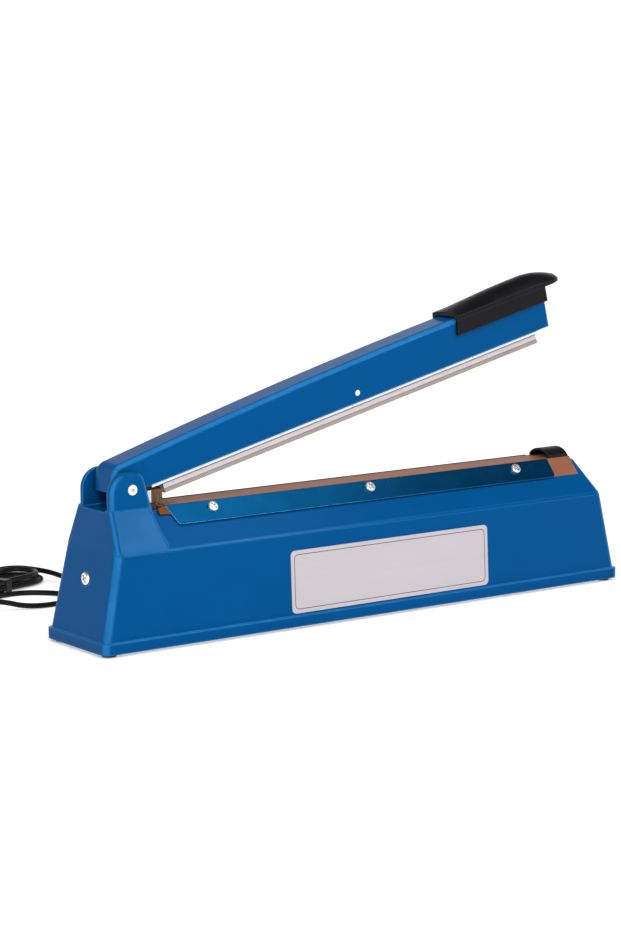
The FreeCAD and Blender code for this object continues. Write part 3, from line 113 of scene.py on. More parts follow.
class Material:
    """A node material with a few shorthands."""

    def __init__(self, name):
        self.data = bpy.data.materials.new(name)
        self.data.use_nodes = True
        self.tree = self.data.node_tree
        self.shader = self.tree.nodes["Principled BSDF"]
        places = self.add("ShaderNodeTexCoord")
        self.coords = places.outputs["Object"]
        self.normals = places.outputs["Normal"]

    def add(self, kind, **values):
        """A new node with its settings."""
        node = self.tree.nodes.new(kind)
        for key, value in values.items():
            setattr(node, key, value)
        return node

    def link(self, output, socket):
        self.tree.links.new(output, socket)

    def give(self, socket, value):
        """A socket's value: an output to link, or a constant."""
        if isinstance(value, bpy.types.NodeSocket):
            self.link(value, socket)
        else:
            socket.default_value = value

    def sockets(self, **values):
        """Values of the shader's sockets, their names with _ for each space."""
        for key, value in values.items():
            self.give(self.shader.inputs[key.replace("_", " ")], value)

    def noise(self, scale, detail=3.0, roughness=0.55, stretch=(1, 1, 1)):
        """Noise over the object's own places."""
        mapping = self.add("ShaderNodeMapping")
        mapping.inputs["Scale"].default_value = stretch
        self.link(self.coords, mapping.inputs["Vector"])
        node = self.add("ShaderNodeTexNoise")
        node.inputs["Scale"].default_value = scale
        node.inputs["Detail"].default_value = detail
        node.inputs["Roughness"].default_value = roughness
        self.link(mapping.outputs["Vector"], node.inputs["Vector"])
        return node.outputs["Fac"]

    def ramp(self, value, stops):
        """A colour from stops, each a place and a colour."""
        node = self.add("ShaderNodeValToRGB")
        elements = node.color_ramp.elements
        while len(elements) < len(stops):
            elements.new(0.5)
        for element, (place, colour) in zip(elements, stops):
            element.position = place
            element.color = (*colour, 1.0)
        self.link(value, node.inputs["Fac"])
        return node.outputs["Color"]

    def remap(self, value, start, end, low=0.0, high=1.0):
        """A value brought from one range to another."""
        node = self.add("ShaderNodeMapRange")
        node.inputs["From Min"].default_value = start
        node.inputs["From Max"].default_value = end
        node.inputs["To Min"].default_value = low
        node.inputs["To Max"].default_value = high
        self.link(value, node.inputs["Value"])
        return node.outputs["Result"]

    def spread(self, noise, low, high):
        """Noise brought to a range."""
        return self.remap(noise, NOISE_LOW, NOISE_HIGH, low, high)

    def rough(self, noise, low, high):
        """Roughness that changes with noise."""
        self.sockets(Roughness=self.spread(noise, low, high))

    def bump(self, height, distance, strength=0.5, normal=None):
        """A fine surface, on the true normal or on a given one."""
        node = self.add("ShaderNodeBump")
        node.inputs["Distance"].default_value = distance
        node.inputs["Strength"].default_value = strength
        self.link(height, node.inputs["Height"])
        if normal:
            self.link(normal, node.inputs["Normal"])
        self.sockets(Normal=node.outputs["Normal"])

    def calc(self, operation, a, b=None):
        """Arithmetic on one or two values, the second an output or a constant."""
        node = self.add("ShaderNodeMath", operation=operation)
        self.link(a, node.inputs[0])
        if b is not None:
            self.give(node.inputs[1], b)
        return node.outputs["Value"]

    def times(self, a, b):
        return self.calc("MULTIPLY", a, b)

    def dot(self, a, b):
        """The dot product of two vectors, the second an output or a constant."""
        node = self.add("ShaderNodeVectorMath", operation="DOT_PRODUCT")
        self.link(a, node.inputs[0])
        self.give(node.inputs[1], b)
        return node.outputs["Value"]

    def parts(self, vector):
        """The outputs X, Y and Z of a vector."""
        node = self.add("ShaderNodeSeparateXYZ")
        self.link(vector, node.inputs[0])
        return node.outputs

    def mix(self, share, a, b):
        """From one colour to another, each an output or a constant."""
        node = self.add("ShaderNodeMix", data_type="RGBA")
        self.link(share, node.inputs[0])
        for socket, colour in ((node.inputs[6], a), (node.inputs[7], b)):
            if isinstance(colour, tuple):
                colour = (*colour, 1.0)
            self.give(socket, colour)
        return node.outputs[2]

    def edges(self, radius):
        """How much a place belongs to an edge, and the normal with edges rounded by a radius."""
        bevel = self.add("ShaderNodeBevel", samples=MASK_SAMPLES)
        bevel.inputs["Radius"].default_value = radius
        geometry = self.add("ShaderNodeNewGeometry")
        turn = self.dot(bevel.outputs["Normal"], geometry.outputs["Normal"])
        return self.remap(turn, EDGE_NONE, EDGE_FULL), bevel.outputs["Normal"]

    def corners(self, pairs):
        """How much the surface turns round a corner between two axes, by the parts of its normal."""
        parts = self.parts(self.normals)
        most = None
        for a, b in pairs:
            size = self.calc("ABSOLUTE", self.times(parts[a], parts[b]))
            most = self.calc("MAXIMUM", most, size) if most else size
        return self.remap(most, CORNER_NONE, CORNER_FULL)

    def facing(self, axis):
        """How much the surface looks along an axis, either way."""
        geometry = self.add("ShaderNodeNewGeometry")
        return self.calc("ABSOLUTE", self.dot(geometry.outputs["Normal"], axis))

    def nooks(self, distance):
        """One in the open, less in recesses and corners."""
        node = self.add("ShaderNodeAmbientOcclusion", samples=MASK_SAMPLES)
        node.inputs["Distance"].default_value = distance
        return node.outputs["AO"]


def scaled(colour, factor):
    """A colour made darker or paler."""
    return tuple(min(1.0, c * factor) for c in colour)


def tones(colour, spread):
    """Three near tones of one colour for a ramp."""
    dark, pale = scaled(colour, 1 - spread), scaled(colour, 1 + spread)
    return [(NOISE_LOW, dark), (NOISE_MIDDLE, colour), (NOISE_HIGH, pale)]


def about(middle, less=0.85, more=1.15):
    """A range round a middle value."""
    return middle * less, middle * more


# Gloss changes over shorter ways than colour does
GLOSS_FINER = 3
SURFACE_DETAIL = 2.0


def plain(name, colour, rough, spread=0.08, scale=35.0, bump=0.0, bump_scale=900.0, metallic=0.0,
          specular=0.5):
    """Moulded plastic, rubber or metal with slow colour and gloss changes and a fine surface."""
    m = Material(name)
    m.sockets(Base_Color=m.ramp(m.noise(scale), tones(colour, spread)))
    m.rough(m.noise(scale * GLOSS_FINER), *about(rough))
    if bump:
        m.bump(m.noise(bump_scale, SURFACE_DETAIL), bump)
    m.sockets(Metallic=metallic, Specular_IOR_Level=specular)
    return m.data


WHITE = (1.0, 1.0, 1.0, 1.0)
# Painted highlight along edges and corners: the noise that breaks it up, and its least and most share
HIGHLIGHT_NOISE = (70.0, 5.0, 0.6)
HIGHLIGHT_LEAST, HIGHLIGHT_MOST = 0.45, 0.8
# Painted shade in hollows: how far it looks, where it starts and ends, and how dark it is
HOLLOW_REACH, HOLLOW_DEEP, HOLLOW_OPEN, HOLLOW_SHADE_TONE = 0.02, 0.12, 0.62, 0.3


def moulded(name, colour, edge_highlight_colour, pairs, rough, scale, bump, bump_scale, radius, specular, spread=0.04,
            sheen=WHITE):
    """A moulded skin: slow tone changes, a fine surface, a painted highlight along edges and corners, and
    painted shade in hollows.
    """
    m = Material(name)
    edge, normal = m.edges(radius)
    edge = m.calc("MAXIMUM", edge, m.corners(pairs))
    # Edges and corners painted paler: a painted highlight
    painted_highlight = m.times(edge, m.spread(m.noise(*HIGHLIGHT_NOISE), HIGHLIGHT_LEAST, HIGHLIGHT_MOST))
    skin = m.ramp(m.noise(scale), tones(colour, spread))
    # Hollows painted darker: painted shade
    in_open = m.remap(m.nooks(HOLLOW_REACH), HOLLOW_DEEP, HOLLOW_OPEN)
    shaded = m.mix(in_open, scaled(colour, HOLLOW_SHADE_TONE), skin)
    m.sockets(Base_Color=m.mix(painted_highlight, shaded, edge_highlight_colour))
    m.rough(m.noise(scale * GLOSS_FINER), *about(rough))
    m.bump(m.noise(bump_scale, SURFACE_DETAIL), bump, normal=normal)
    m.sockets(Specular_IOR_Level=specular, Specular_Tint=sheen)
    return m.data


SCREW_TONE, RECESS_SHADE_TONE = (0.78, 0.765, 0.755), (0.10, 0.09, 0.085)


def screw_steel():
    """Plated screw heads, turned smooth, with painted shade in the recess and at the seat."""
    m = Material("bright_steel")
    # Painted shade where the recess and the seat are hemmed in
    in_open = m.remap(m.nooks(distance=0.0009), start=0.3, end=0.8)
    skin = m.ramp(m.noise(scale=300.0), tones(SCREW_TONE, spread=0.08))
    m.sockets(Base_Color=m.mix(in_open, RECESS_SHADE_TONE, skin))
    m.rough(m.noise(scale=500.0), *about(0.24, less=0.8, more=1.2))
    m.bump(m.noise(1500.0, SURFACE_DETAIL), distance=0.00002)
    m.sockets(Metallic=0.85)
    return m.data


def ringed(name, centre, radius, inside, outside, rough, metallic):
    """Two finishes round an axis along y: one inside a radius and one outside."""
    m = Material(name)
    shift = m.add("ShaderNodeVectorMath", operation="MULTIPLY_ADD")
    shift.inputs[1].default_value = (1.0, 0.0, 1.0)
    shift.inputs[2].default_value = (-centre.x, 0.0, -centre.z)
    m.link(m.coords, shift.inputs[0])
    reach = m.add("ShaderNodeVectorMath", operation="LENGTH")
    m.link(shift.outputs["Vector"], reach.inputs[0])
    beyond = m.remap(reach.outputs["Value"], *about(radius, less=0.9, more=1.1))
    patch = m.noise(scale=400.0)
    near = m.ramp(patch, tones(inside, spread=0.1))
    far = m.ramp(patch, tones(outside, spread=0.1))
    m.sockets(Base_Color=m.mix(beyond, near, far))
    m.rough(patch, *about(rough))
    m.bump(reach.outputs["Value"], distance=0.0002, strength=0.3)
    m.sockets(Metallic=metallic)
    return m.data


# Drawn metal: noise stretched along one axis
LINES_X, LINES_Z = (0.02, 1.0, 1.0), (1.0, 1.0, 0.02)
LINES_X_LONG = (0.015, 1.0, 1.0)
LINE_NOISE = (900.0, 4.0, 0.6)
LINE_BUMP = (0.00003, 0.25)


def brushed(name, colour, rough, stretch, spread=0.12, metallic=1.0):
    """Drawn or brushed metal with lines along the axis of the stretch's small part."""
    m = Material(name)
    lines = m.noise(*LINE_NOISE, stretch)
    tone = m.times(m.calc("ADD", lines, m.noise(scale=14.0)), 0.5)
    m.sockets(Base_Color=m.ramp(tone, tones(colour, spread)))
    m.rough(lines, *about(rough, less=0.8, more=1.25))
    m.bump(lines, *LINE_BUMP)
    m.sockets(Metallic=metallic)
    return m.data


FLANGE_N, FLANGE_BLEND = -6.6, 0.0002
BAR_TONE, FLANGE_HIGHLIGHT_TONE, GROOVE_SHADE_TONE = (0.585, 0.525, 0.55), (0.72, 0.76, 0.83), (0.03, 0.02, 0.018)


def grooved_bar():
    """A drawn aluminium bar with lines along it, its flange painted paler and bluer as a painted highlight,
    and painted shade in its narrow groove.
    """
    m = Material("aluminium")
    lines = m.noise(*LINE_NOISE, LINES_X)
    level = on_arm(0.0, 0.0, FLANGE_N).dot(Vector(ARM_NORMAL))
    # The flange's paler, bluer tone is a painted highlight
    flange = m.remap(m.dot(m.coords, ARM_NORMAL), level - FLANGE_BLEND, level + FLANGE_BLEND)
    lower = m.ramp(lines, tones(BAR_TONE, spread=0.07))
    upper = m.ramp(lines, tones(FLANGE_HIGHLIGHT_TONE, spread=0.07))
    # Painted shade in the narrow groove
    in_open = m.remap(m.nooks(distance=0.003), start=0.5, end=0.9)
    m.sockets(Base_Color=m.mix(in_open, GROOVE_SHADE_TONE, m.mix(flange, lower, upper)))
    m.rough(lines, *about(0.34, less=0.8, more=1.25))
    m.bump(lines, *LINE_BUMP)
    m.sockets(Metallic=0.5)
    return m.data


BOARD_TONE = (0.125, 0.068, 0.036)


def fibre_board():
    """Layered fibre board: fine upright grain, with darker streaks."""
    m = Material("bakelite")
    grain = m.noise(scale=700.0, detail=5.0, roughness=0.65, stretch=(1.0, 1.0, 0.12))
    streaks = [(0.32, scaled(BOARD_TONE, 0.45)), (0.5, BOARD_TONE), (0.68, scaled(BOARD_TONE, 1.45))]
    m.sockets(Base_Color=m.ramp(grain, streaks))
    m.rough(grain, *about(0.5))
    m.bump(grain, distance=0.00015)
    m.sockets(Specular_IOR_Level=0.12)
    return m.data


TAPE_TONES = [(0.25, (0.20, 0.072, 0.036)), (0.5, (0.30, 0.118, 0.062)), (0.75, (0.39, 0.175, 0.10))]
TAPE_HINGE_TONE = (0.19, 0.056, 0.016)
TAPE_HINGE_FROM, TAPE_HINGE_TO = -0.135, -0.146


def release_tape():
    """Brown glass cloth coated with release resin: a fine weave under a satin skin, redder by the hinge."""
    m = Material("release_tape")
    threads = []
    for direction in ("X", "Y"):
        wave = m.add("ShaderNodeTexWave", bands_direction=direction)
        wave.inputs["Scale"].default_value = 420.0
        wave.inputs["Distortion"].default_value = 0.6
        m.link(m.coords, wave.inputs["Vector"])
        threads.append(wave.outputs["Fac"])
    patches = m.noise(scale=26.0, detail=5.0, roughness=0.6, stretch=(0.5, 2.0, 1.0))
    by_hinge = m.remap(m.parts(m.coords)["X"], TAPE_HINGE_FROM, TAPE_HINGE_TO)
    m.sockets(Base_Color=m.mix(by_hinge, m.ramp(patches, TAPE_TONES), TAPE_HINGE_TONE))
    m.rough(patches, low=0.34, high=0.5)
    m.bump(m.times(*threads), distance=0.00008, strength=0.4)
    m.sockets(Specular_IOR_Level=0.06)
    return m.data


ENAMEL_TONE, ENAMEL_EDGE_HIGHLIGHT, ENAMEL_CUT_HIGHLIGHT = (0.0003, 0.078, 0.21), (0.05, 0.22, 0.42), (0.42, 0.66, 0.84)


def enamelled_plate():
    """Blue lacquer on sheet steel: a satin metallic skin, with a painted highlight along its edges and on the
    ends where the sheet is cut.
    """
    m = Material("blue_enamel")
    edge, normal = m.edges(radius=0.0006)
    # The cut ends painted pale blue: a painted highlight
    cut = m.remap(m.facing((1.0, 0.0, 0.0)), start=0.35, end=0.75)
    skin = m.ramp(m.noise(scale=25.0), tones(ENAMEL_TONE, spread=0.06))
    # Edges painted paler: a painted highlight
    painted_highlight = m.times(edge, m.spread(m.noise(scale=160.0), low=0.1, high=0.55))
    highlighted = m.mix(painted_highlight, skin, ENAMEL_EDGE_HIGHLIGHT)
    m.sockets(Base_Color=m.mix(cut, highlighted, ENAMEL_CUT_HIGHLIGHT))
    m.rough(m.noise(scale=75.0), low=0.2, high=0.28)
    m.bump(m.noise(300.0, SURFACE_DETAIL), distance=0.00001, normal=normal)
    m.sockets(Metallic=0.92, Specular_IOR_Level=0.1)
    return m.data


BLUE = (0.0003, 0.071, 0.232)
# Paler blue painted on edges and corners: a painted highlight
BLUE_EDGE_HIGHLIGHT = (0.022, 0.20, 0.49)
BLUE_SHEEN = (0.15, 0.55, 1.0, 1.0)
blue_skin = dict(rough=0.17, scale=18.0, bump=0.00002, bump_scale=700.0, radius=0.0014, specular=0.075,
                 sheen=BLUE_SHEEN)
blue_plastic = moulded("blue_plastic", BLUE, BLUE_EDGE_HIGHLIGHT, ["XY"], **blue_skin)
blue_arm = moulded("blue_arm", BLUE, BLUE_EDGE_HIGHLIGHT, ["XY", "YZ"], **blue_skin)
# Its paler edge colour is a painted highlight on edges and corners
black_plastic = moulded("black_plastic", (0.0042, 0.0038, 0.0056), (0.028, 0.025, 0.028), ["XY"], rough=0.36,
                        scale=60.0, bump=0.0002, bump_scale=420.0, radius=0.0007, specular=0.12, spread=0.3)
blue_enamel = enamelled_plate()
black_rubber = plain("black_rubber", (0.011, 0.011, 0.012), 0.6, spread=0.2, scale=50.0, bump=0.00005,
                     bump_scale=1200.0)
bright_steel = screw_steel()
zinc_steel = plain("zinc_steel", (0.55, 0.55, 0.56), 0.32, spread=0.12, scale=90.0, bump=0.00003,
                   bump_scale=700.0, metallic=1.0)
aluminium = grooved_bar()
bar_metal = brushed("bar_metal", (0.66, 0.64, 0.64), 0.35, LINES_X)
silicone = plain("silicone", (0.34, 0.285, 0.26), 0.55, spread=0.07, scale=40.0, bump=0.00003, specular=0.1)
tape = release_tape()
bakelite = fibre_board()
brass = plain("brass", (0.72, 0.52, 0.25), 0.3, spread=0.1, scale=120.0, bump=0.00002, metallic=1.0)
nichrome = plain("nichrome", (0.45, 0.42, 0.38), 0.35, spread=0.15, scale=200.0, bump=0.00002, metallic=1.0)
glass_cloth = plain("glass_cloth", (0.6, 0.54, 0.42), 0.7, spread=0.1, scale=200.0, bump=0.0001)
switch_black = plain("switch_black", (0.02, 0.02, 0.022), 0.4, spread=0.15, scale=120.0, bump=0.00003)
board_green = plain("board_green", (0.02, 0.16, 0.06), 0.35, spread=0.2, scale=150.0, bump=0.00003)
core_steel = brushed("core_steel", (0.25, 0.25, 0.26), 0.45, LINES_Z)
coil_tape = plain("coil_tape", (0.55, 0.38, 0.06), 0.35, spread=0.12, scale=60.0, bump=0.00004,
                  bump_scale=500.0)
cord_jacket = plain("cord_jacket", (0.005, 0.0045, 0.005), 0.34, spread=0.25, scale=90.0, bump=0.00004,
                    specular=0.14)
HINGE_AXIS, RIVET_DIMPLE = at(-178.8, 0.0, 100.0), 1.25 * MM
LAMP_AXIS, LAMP_LENS = at(76.0, 0.0, 38.0), 3.3 * MM
rivet_steel = ringed("rivet_steel", HINGE_AXIS, RIVET_DIMPLE, inside=(0.50, 0.37, 0.33),
                     outside=(0.80, 0.785, 0.775), rough=0.28, metallic=0.8)
lamp_red = ringed("lamp_red", LAMP_AXIS, LAMP_LENS, inside=(0.55, 0.012, 0.008),
                  outside=(0.012, 0.012, 0.013), rough=0.14, metallic=0.0)

finishes = [
    (blue_plastic, ["base_housing"]),
    (blue_arm, ["arm_shell"]),
    (blue_enamel, ["front_clamp_plate", "rear_clamp_plate"]),
    (black_plastic, ["bar_end_cap", "handle_cap", "timer_knob", "microswitch_button", "cord_tie"]),
    (black_rubber, ["rubber_feet", "cord_gland"]),
    (rivet_steel, ["hinge_pin"]),
    (bright_steel, ["end_screw", "front_clamp_screws", "rear_clamp_screws", "bottom_plate_screws"]),
    (bright_steel, ["pressure_bar_pin", "return_spring"]),
    (zinc_steel, ["bottom_plate", "handle_screw", "plunger_bracket"]),
    (zinc_steel, ["timer_potentiometer", "transformer_strap"]),
    (bar_metal, ["sealing_bar"]),
    (aluminium, ["pressure_bar"]),
    (silicone, ["silicone_strip"]),
    (tape, ["ptfe_tape"]),
    (bakelite, ["return_plunger", "end_blocks"]),
    (brass, ["element_terminals", "timer_shaft", "plug_pins"]),
    (nichrome, ["heating_element"]),
    (glass_cloth, ["element_insulation"]),
    (switch_black, ["microswitch_body"]),
    (board_green, ["timer_board"]),
    (core_steel, ["transformer_core"]),
    (coil_tape, ["transformer_coil"]),
    (lamp_red, ["indicator_lamp"]),
    (cord_jacket, ["cord_lead", "cord_hank", "cord_tail", "plug_body"]),
]
for material, names in finishes:
    for name in names:
        mesh = nodes[name].data
        mesh.materials.clear()
        mesh.materials.append(material)


# Shared steps of the pieces that are added
def piece(name, mesh, body, material):
    """A new object that rides on a body."""
    obj = add_object(name, mesh)
    mesh.materials.append(material)
    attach(obj, body)
    return obj


def mesh_from(name, bm):
    """A mesh of what was drawn, with its faces turned outwards."""
    bmesh.ops.recalc_face_normals(bm, faces=bm.faces)
    mesh = bpy.data.meshes.new(name)
    bm.to_mesh(mesh)
    bm.free()
    return mesh


def loft(bm, rings, smooth=False):
    """Faces through rings of points, with both ends filled."""
    rows = [[bm.verts.new(place) for place in ring] for ring in rings]
    bm.faces.new(rows[0])
    bm.faces.new(rows[-1])
    for lower, upper in zip(rows, rows[1:]):
        for k in range(len(lower)):
            j = (k + 1) % len(lower)
            bm.faces.new((lower[k], lower[j], upper[j], upper[k])).smooth = smooth


PRISM_ROUND, PRISM_SHARP = 0.08, 0.5


def prism(name, outline, low, high, upright):
    """A mesh drawn from an outline: upright ones have it in x and y, the others in x and z."""
    bm = bmesh.new()
    rings = []
    for level in (low, high):
        rings.append([at(a, b, level) if upright else at(a, level, b) for a, b in outline])
    loft(bm, rings)
    bmesh.ops.recalc_face_normals(bm, faces=bm.faces)
    edges = [e for e in bm.edges if e.calc_face_angle(0) > PRISM_SHARP]
    bmesh.ops.bevel(bm, geom=edges, offset=PRISM_ROUND * MM, segments=2, affect="EDGES", profile=0.5)
    return mesh_from(name, bm)


# Front and back faces of the base, which lean inwards
FACE_LOW_Y, FACE_HIGH_Y = 33.45, 30.65
FACE_LOW_Z, FACE_HIGH_Z = 9.0, 62.0
FRONT, BACK = -1, 1


def on_face(x, z, lift, side):
    """A point on the front or back face at a height, lifted off it."""
    lean = (FACE_LOW_Y - FACE_HIGH_Y) / (FACE_HIGH_Z - FACE_LOW_Z)
    y = side * (FACE_LOW_Y - (z - FACE_LOW_Z) * lean)
    n = Vector((0, side, lean)).normalized()
    return at(x, y, z) + n * (lift * MM)


def plates_on_face(name, outlines, low, high, side):
    """Thin plates on a face, each from an outline."""
    bm = bmesh.new()
    for outline in outlines:
        loft(bm, [[on_face(x, z, lift, side) for x, z in outline] for lift in (low, high)])
    return mesh_from(name, bm)


def ring_on_face(name, outer, inner, low, high, side):
    """A thin ring on a face between two outlines of as many points."""
    bm = bmesh.new()
    loops = []
    for outline, lift in ((outer, low), (outer, high), (inner, high), (inner, low)):
        loops.append([bm.verts.new(on_face(x, z, lift, side)) for x, z in outline])
    for a, b in zip(loops, loops[1:] + loops[:1]):
        for k in range(len(outer)):
            j = (k + 1) % len(outer)
            bm.faces.new((a[k], a[j], b[j], b[k]))
    return mesh_from(name, bm)


# Nameplate on the front face: a thin pressed plate with a border line
PLATE_LEFT, PLATE_RIGHT = -68.0, 94.0
PLATE_LOW, PLATE_HIGH = 10.5, 51.0
PLATE_CORNER, CORNER_STEPS = 3.2, 6
PLATE_UNDER, PLATE_FACE = 0.05, 0.5
LINE_INSET, LINE_WIDTH, LINE_CORNER = 2.5, 0.5, 3.0
LINE_UNDER, LINE_FACE = 0.48, 0.54


def plate_outline(inset, radius):
    """The plate's outline, drawn in by an inset, with round corners."""
    left, right = PLATE_LEFT + inset + radius, PLATE_RIGHT - inset - radius
    low, high = PLATE_LOW + inset + radius, PLATE_HIGH - inset - radius
    points = []
    for x, z, start in ((right, low, -90), (right, high, 0), (left, high, 90), (left, low, 180)):
        for k in range(CORNER_STEPS + 1):
            a = math.radians(start + 90 * k / CORNER_STEPS)
            points.append((x + radius * math.cos(a), z + radius * math.sin(a)))
    return points


plate_metal = brushed("plate_metal", (0.507, 0.465, 0.498), 0.36, LINES_X_LONG, spread=0.05, metallic=0.3)
plate_ink = plain("plate_ink", (0.10, 0.085, 0.085), 0.45, spread=0.1, scale=200.0)
plate_mesh = plates_on_face("nameplate", [plate_outline(0.0, PLATE_CORNER)], PLATE_UNDER, PLATE_FACE, FRONT)
piece("nameplate", plate_mesh, "base", plate_metal)
line_outer = plate_outline(LINE_INSET, LINE_CORNER)
line_inner = plate_outline(LINE_INSET + LINE_WIDTH, LINE_CORNER - LINE_WIDTH)
line_mesh = ring_on_face("nameplate_line", line_outer, line_inner, LINE_UNDER, LINE_FACE, FRONT)
piece("nameplate_line", line_mesh, "base", plate_ink)


# Timer dial on the back: a ring plate with ticks and plain numbers
KNOB_X, KNOB_Z = 110.0, 38.0
DIAL_INNER, DIAL_OUTER, DIAL_SIDES = 12.6, 20.5, 60
DIAL_UNDER, DIAL_FACE = 0.03, 0.3
TICK_INNER, TICK_OUTER, TICK_HALF = 13.3, 15.2, 0.28
TICK_SHORTER = 0.9
TICK_UNDER, TICK_FACE = 0.28, 0.34
NUMBER_RADIUS, NUMBER_SIZE = 17.6, 3.0
NUMBER_LIFT, NUMBER_DEPTH = 0.32, 0.03
MARK_REST, MARK_TRAVEL = -90.0, 150.0
DIAL_STEPS = 8


def dial_point(radius, angle, across=0.0):
    """A place round the knob, the angle clockwise from the top as seen from behind."""
    a = math.radians(angle)
    x = KNOB_X - radius * math.sin(a) - across * math.cos(a)
    return (x, KNOB_Z + radius * math.cos(a) - across * math.sin(a))


def dial_circle(radius):
    """A circle round the knob."""
    return [dial_point(radius, 360.0 * k / DIAL_SIDES) for k in range(DIAL_SIDES)]


def dial_angle(step):
    """Where the knob's mark points to at a step of the scale."""
    return MARK_REST - MARK_TRAVEL + 2 * MARK_TRAVEL * step / DIAL_STEPS


def tick_outlines():
    """A tick at each step, and a shorter one between two steps."""
    ticks = []
    for half_step in range(2 * DIAL_STEPS + 1):
        outer = TICK_OUTER if half_step % 2 == 0 else TICK_OUTER - TICK_SHORTER
        corners = [(TICK_INNER, -TICK_HALF), (outer, -TICK_HALF), (outer, TICK_HALF), (TICK_INNER, TICK_HALF)]
        ticks.append([dial_point(reach, dial_angle(half_step / 2), across) for reach, across in corners])
    return ticks


def dial_text(step):
    """The number of a step as thin type."""
    text = bpy.data.curves.new("dial_number", "FONT")
    text.body = str(step)
    text.size = NUMBER_SIZE * MM
    text.extrude = NUMBER_DEPTH * MM
    text.align_x = "CENTER"
    text.align_y = "CENTER"
    return text


dial_rims = (dial_circle(DIAL_OUTER), dial_circle(DIAL_INNER))
dial_mesh = ring_on_face("timer_dial", *dial_rims, DIAL_UNDER, DIAL_FACE, BACK)
piece("timer_dial", dial_mesh, "base", plate_metal)
tick_mesh = plates_on_face("dial_ticks", tick_outlines(), TICK_UNDER, TICK_FACE, BACK)
piece("dial_ticks", tick_mesh, "base", plate_ink)
face_up = (on_face(0, FACE_HIGH_Z, 0, BACK) - on_face(0, FACE_LOW_Z, 0, BACK)).normalized()
face_right = Vector((-1.0, 0.0, 0.0))
face_turn = Matrix((face_right, face_up, face_right.cross(face_up))).transposed().to_4x4()
for step in range(DIAL_STEPS + 1):
    x, z = dial_point(NUMBER_RADIUS, dial_angle(step))
    number = piece("dial_number_%d" % step, dial_text(step), "base", plate_ink)
    number.matrix_world = Matrix.Translation(on_face(x, z, NUMBER_LIFT, BACK)) @ face_turn


# Paint in the knob's pointer mark
MARK_RADIUS, MARK_REACH, MARK_SIDES = 0.86, 8.64, 24
MARK_LOW, MARK_HIGH = 10.92, 11.45


def mark_circle():
    """The mark's round outline near the knob's rim."""
    points = []
    for k in range(MARK_SIDES):
        a = math.radians(360 * k / MARK_SIDES)
        points.append((KNOB_X + MARK_REACH + MARK_RADIUS * math.cos(a), KNOB_Z + MARK_RADIUS * math.sin(a)))
    return points


mark_white = plain("mark_white", (0.62, 0.61, 0.58), 0.4, spread=0.06, scale=300.0, bump=0.00002)
mark_mesh = plates_on_face("knob_mark", [mark_circle()], MARK_LOW, MARK_HIGH, BACK)
piece("knob_mark", mark_mesh, "knob", mark_white)


# Cheeks of the plunger's head, before and behind its stem, and the bright clip on the near one
HEAD_LEFT, HEAD_MIDDLE, HEAD_RIGHT = -161.9, -152.6, -151.0
HEAD_LOW, HEAD_STEP, HEAD_TOP = 89.0, 90.7, 96.9
STEM_HALF, HEAD_HALF = 6.02, 10.3
CLIP_SHEET, CLIP_LIP, CLIP_SIDE = 0.35, 2.3, 4.2
CLIP_GAP, CLIP_SHORTER = 0.02, 0.1

head_outline = [(HEAD_LEFT, HEAD_LOW), (HEAD_MIDDLE, HEAD_LOW), (HEAD_MIDDLE, HEAD_STEP),
                (HEAD_RIGHT, HEAD_STEP), (HEAD_RIGHT, HEAD_TOP), (HEAD_LEFT, HEAD_TOP)]
for name, side in (("plunger_cheek_front", FRONT), ("plunger_cheek_back", BACK)):
    cheek_mesh = prism(name, head_outline, side * STEM_HALF, side * HEAD_HALF, upright=False)
    piece(name, cheek_mesh, "plunger", bakelite)
clip_x, clip_y = HEAD_LEFT - CLIP_GAP, -HEAD_HALF - CLIP_GAP
clip_outline = [(clip_x - CLIP_SHEET, clip_y + CLIP_SIDE), (clip_x - CLIP_SHEET, clip_y - CLIP_SHEET),
                (clip_x + CLIP_LIP, clip_y - CLIP_SHEET), (clip_x + CLIP_LIP, clip_y), (clip_x, clip_y),
                (clip_x, clip_y + CLIP_SIDE)]
clip_steel = brushed("clip_steel", (0.60, 0.61, 0.64), 0.3, LINES_Z, spread=0.08, metallic=0.6)
clip_low, clip_top = HEAD_LOW + CLIP_SHORTER, HEAD_TOP - CLIP_SHORTER
clip_mesh = prism("plunger_clip", clip_outline, clip_low, clip_top, upright=True)
piece("plunger_clip", clip_mesh, "plunger", clip_steel)


# Return spring: a helical coil of round wire, drawn at one fixed length
COIL_X, COIL_RADIUS, COIL_WIRE = -157.4, 4.6, 0.6
COIL_LOW, COIL_HIGH, COIL_SEAT = 42.9, 65.1, 42.0
COIL_TURNS, COIL_STEPS, COIL_SIDES = 5, 28, 10
COIL_NUDGE = 0.001


def coil_place(turn):
    """A point of the wire's middle line, by turns from the low end."""
    a = 2 * math.pi * turn
    rise = COIL_LOW + (COIL_HIGH - COIL_LOW) * turn / COIL_TURNS
    return at(COIL_X + COIL_RADIUS * math.cos(a), COIL_RADIUS * math.sin(a), rise)


def coil_ring(turn):
    """The wire's round section at a place along it."""
    a = 2 * math.pi * turn
    outward = Vector((math.cos(a), math.sin(a), 0.0))
    along = (coil_place(turn + COIL_NUDGE) - coil_place(turn - COIL_NUDGE)).normalized()
    square = along.cross(outward)
    ring = []
    for k in range(COIL_SIDES):
        b = 2 * math.pi * k / COIL_SIDES
        ring.append(coil_place(turn) + (outward * math.cos(b) + square * math.sin(b)) * COIL_WIRE * MM)
    return ring


def coil_mesh():
    """Round wire wound up in a helix, closed at both ends."""
    bm = bmesh.new()
    loft(bm, [coil_ring(k / COIL_STEPS) for k in range(COIL_TURNS * COIL_STEPS + 1)], smooth=True)
    return mesh_from("return_coil", bm)


coil = piece("return_coil", coil_mesh(), "base", bright_steel)
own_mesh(coil)
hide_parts("return_spring")


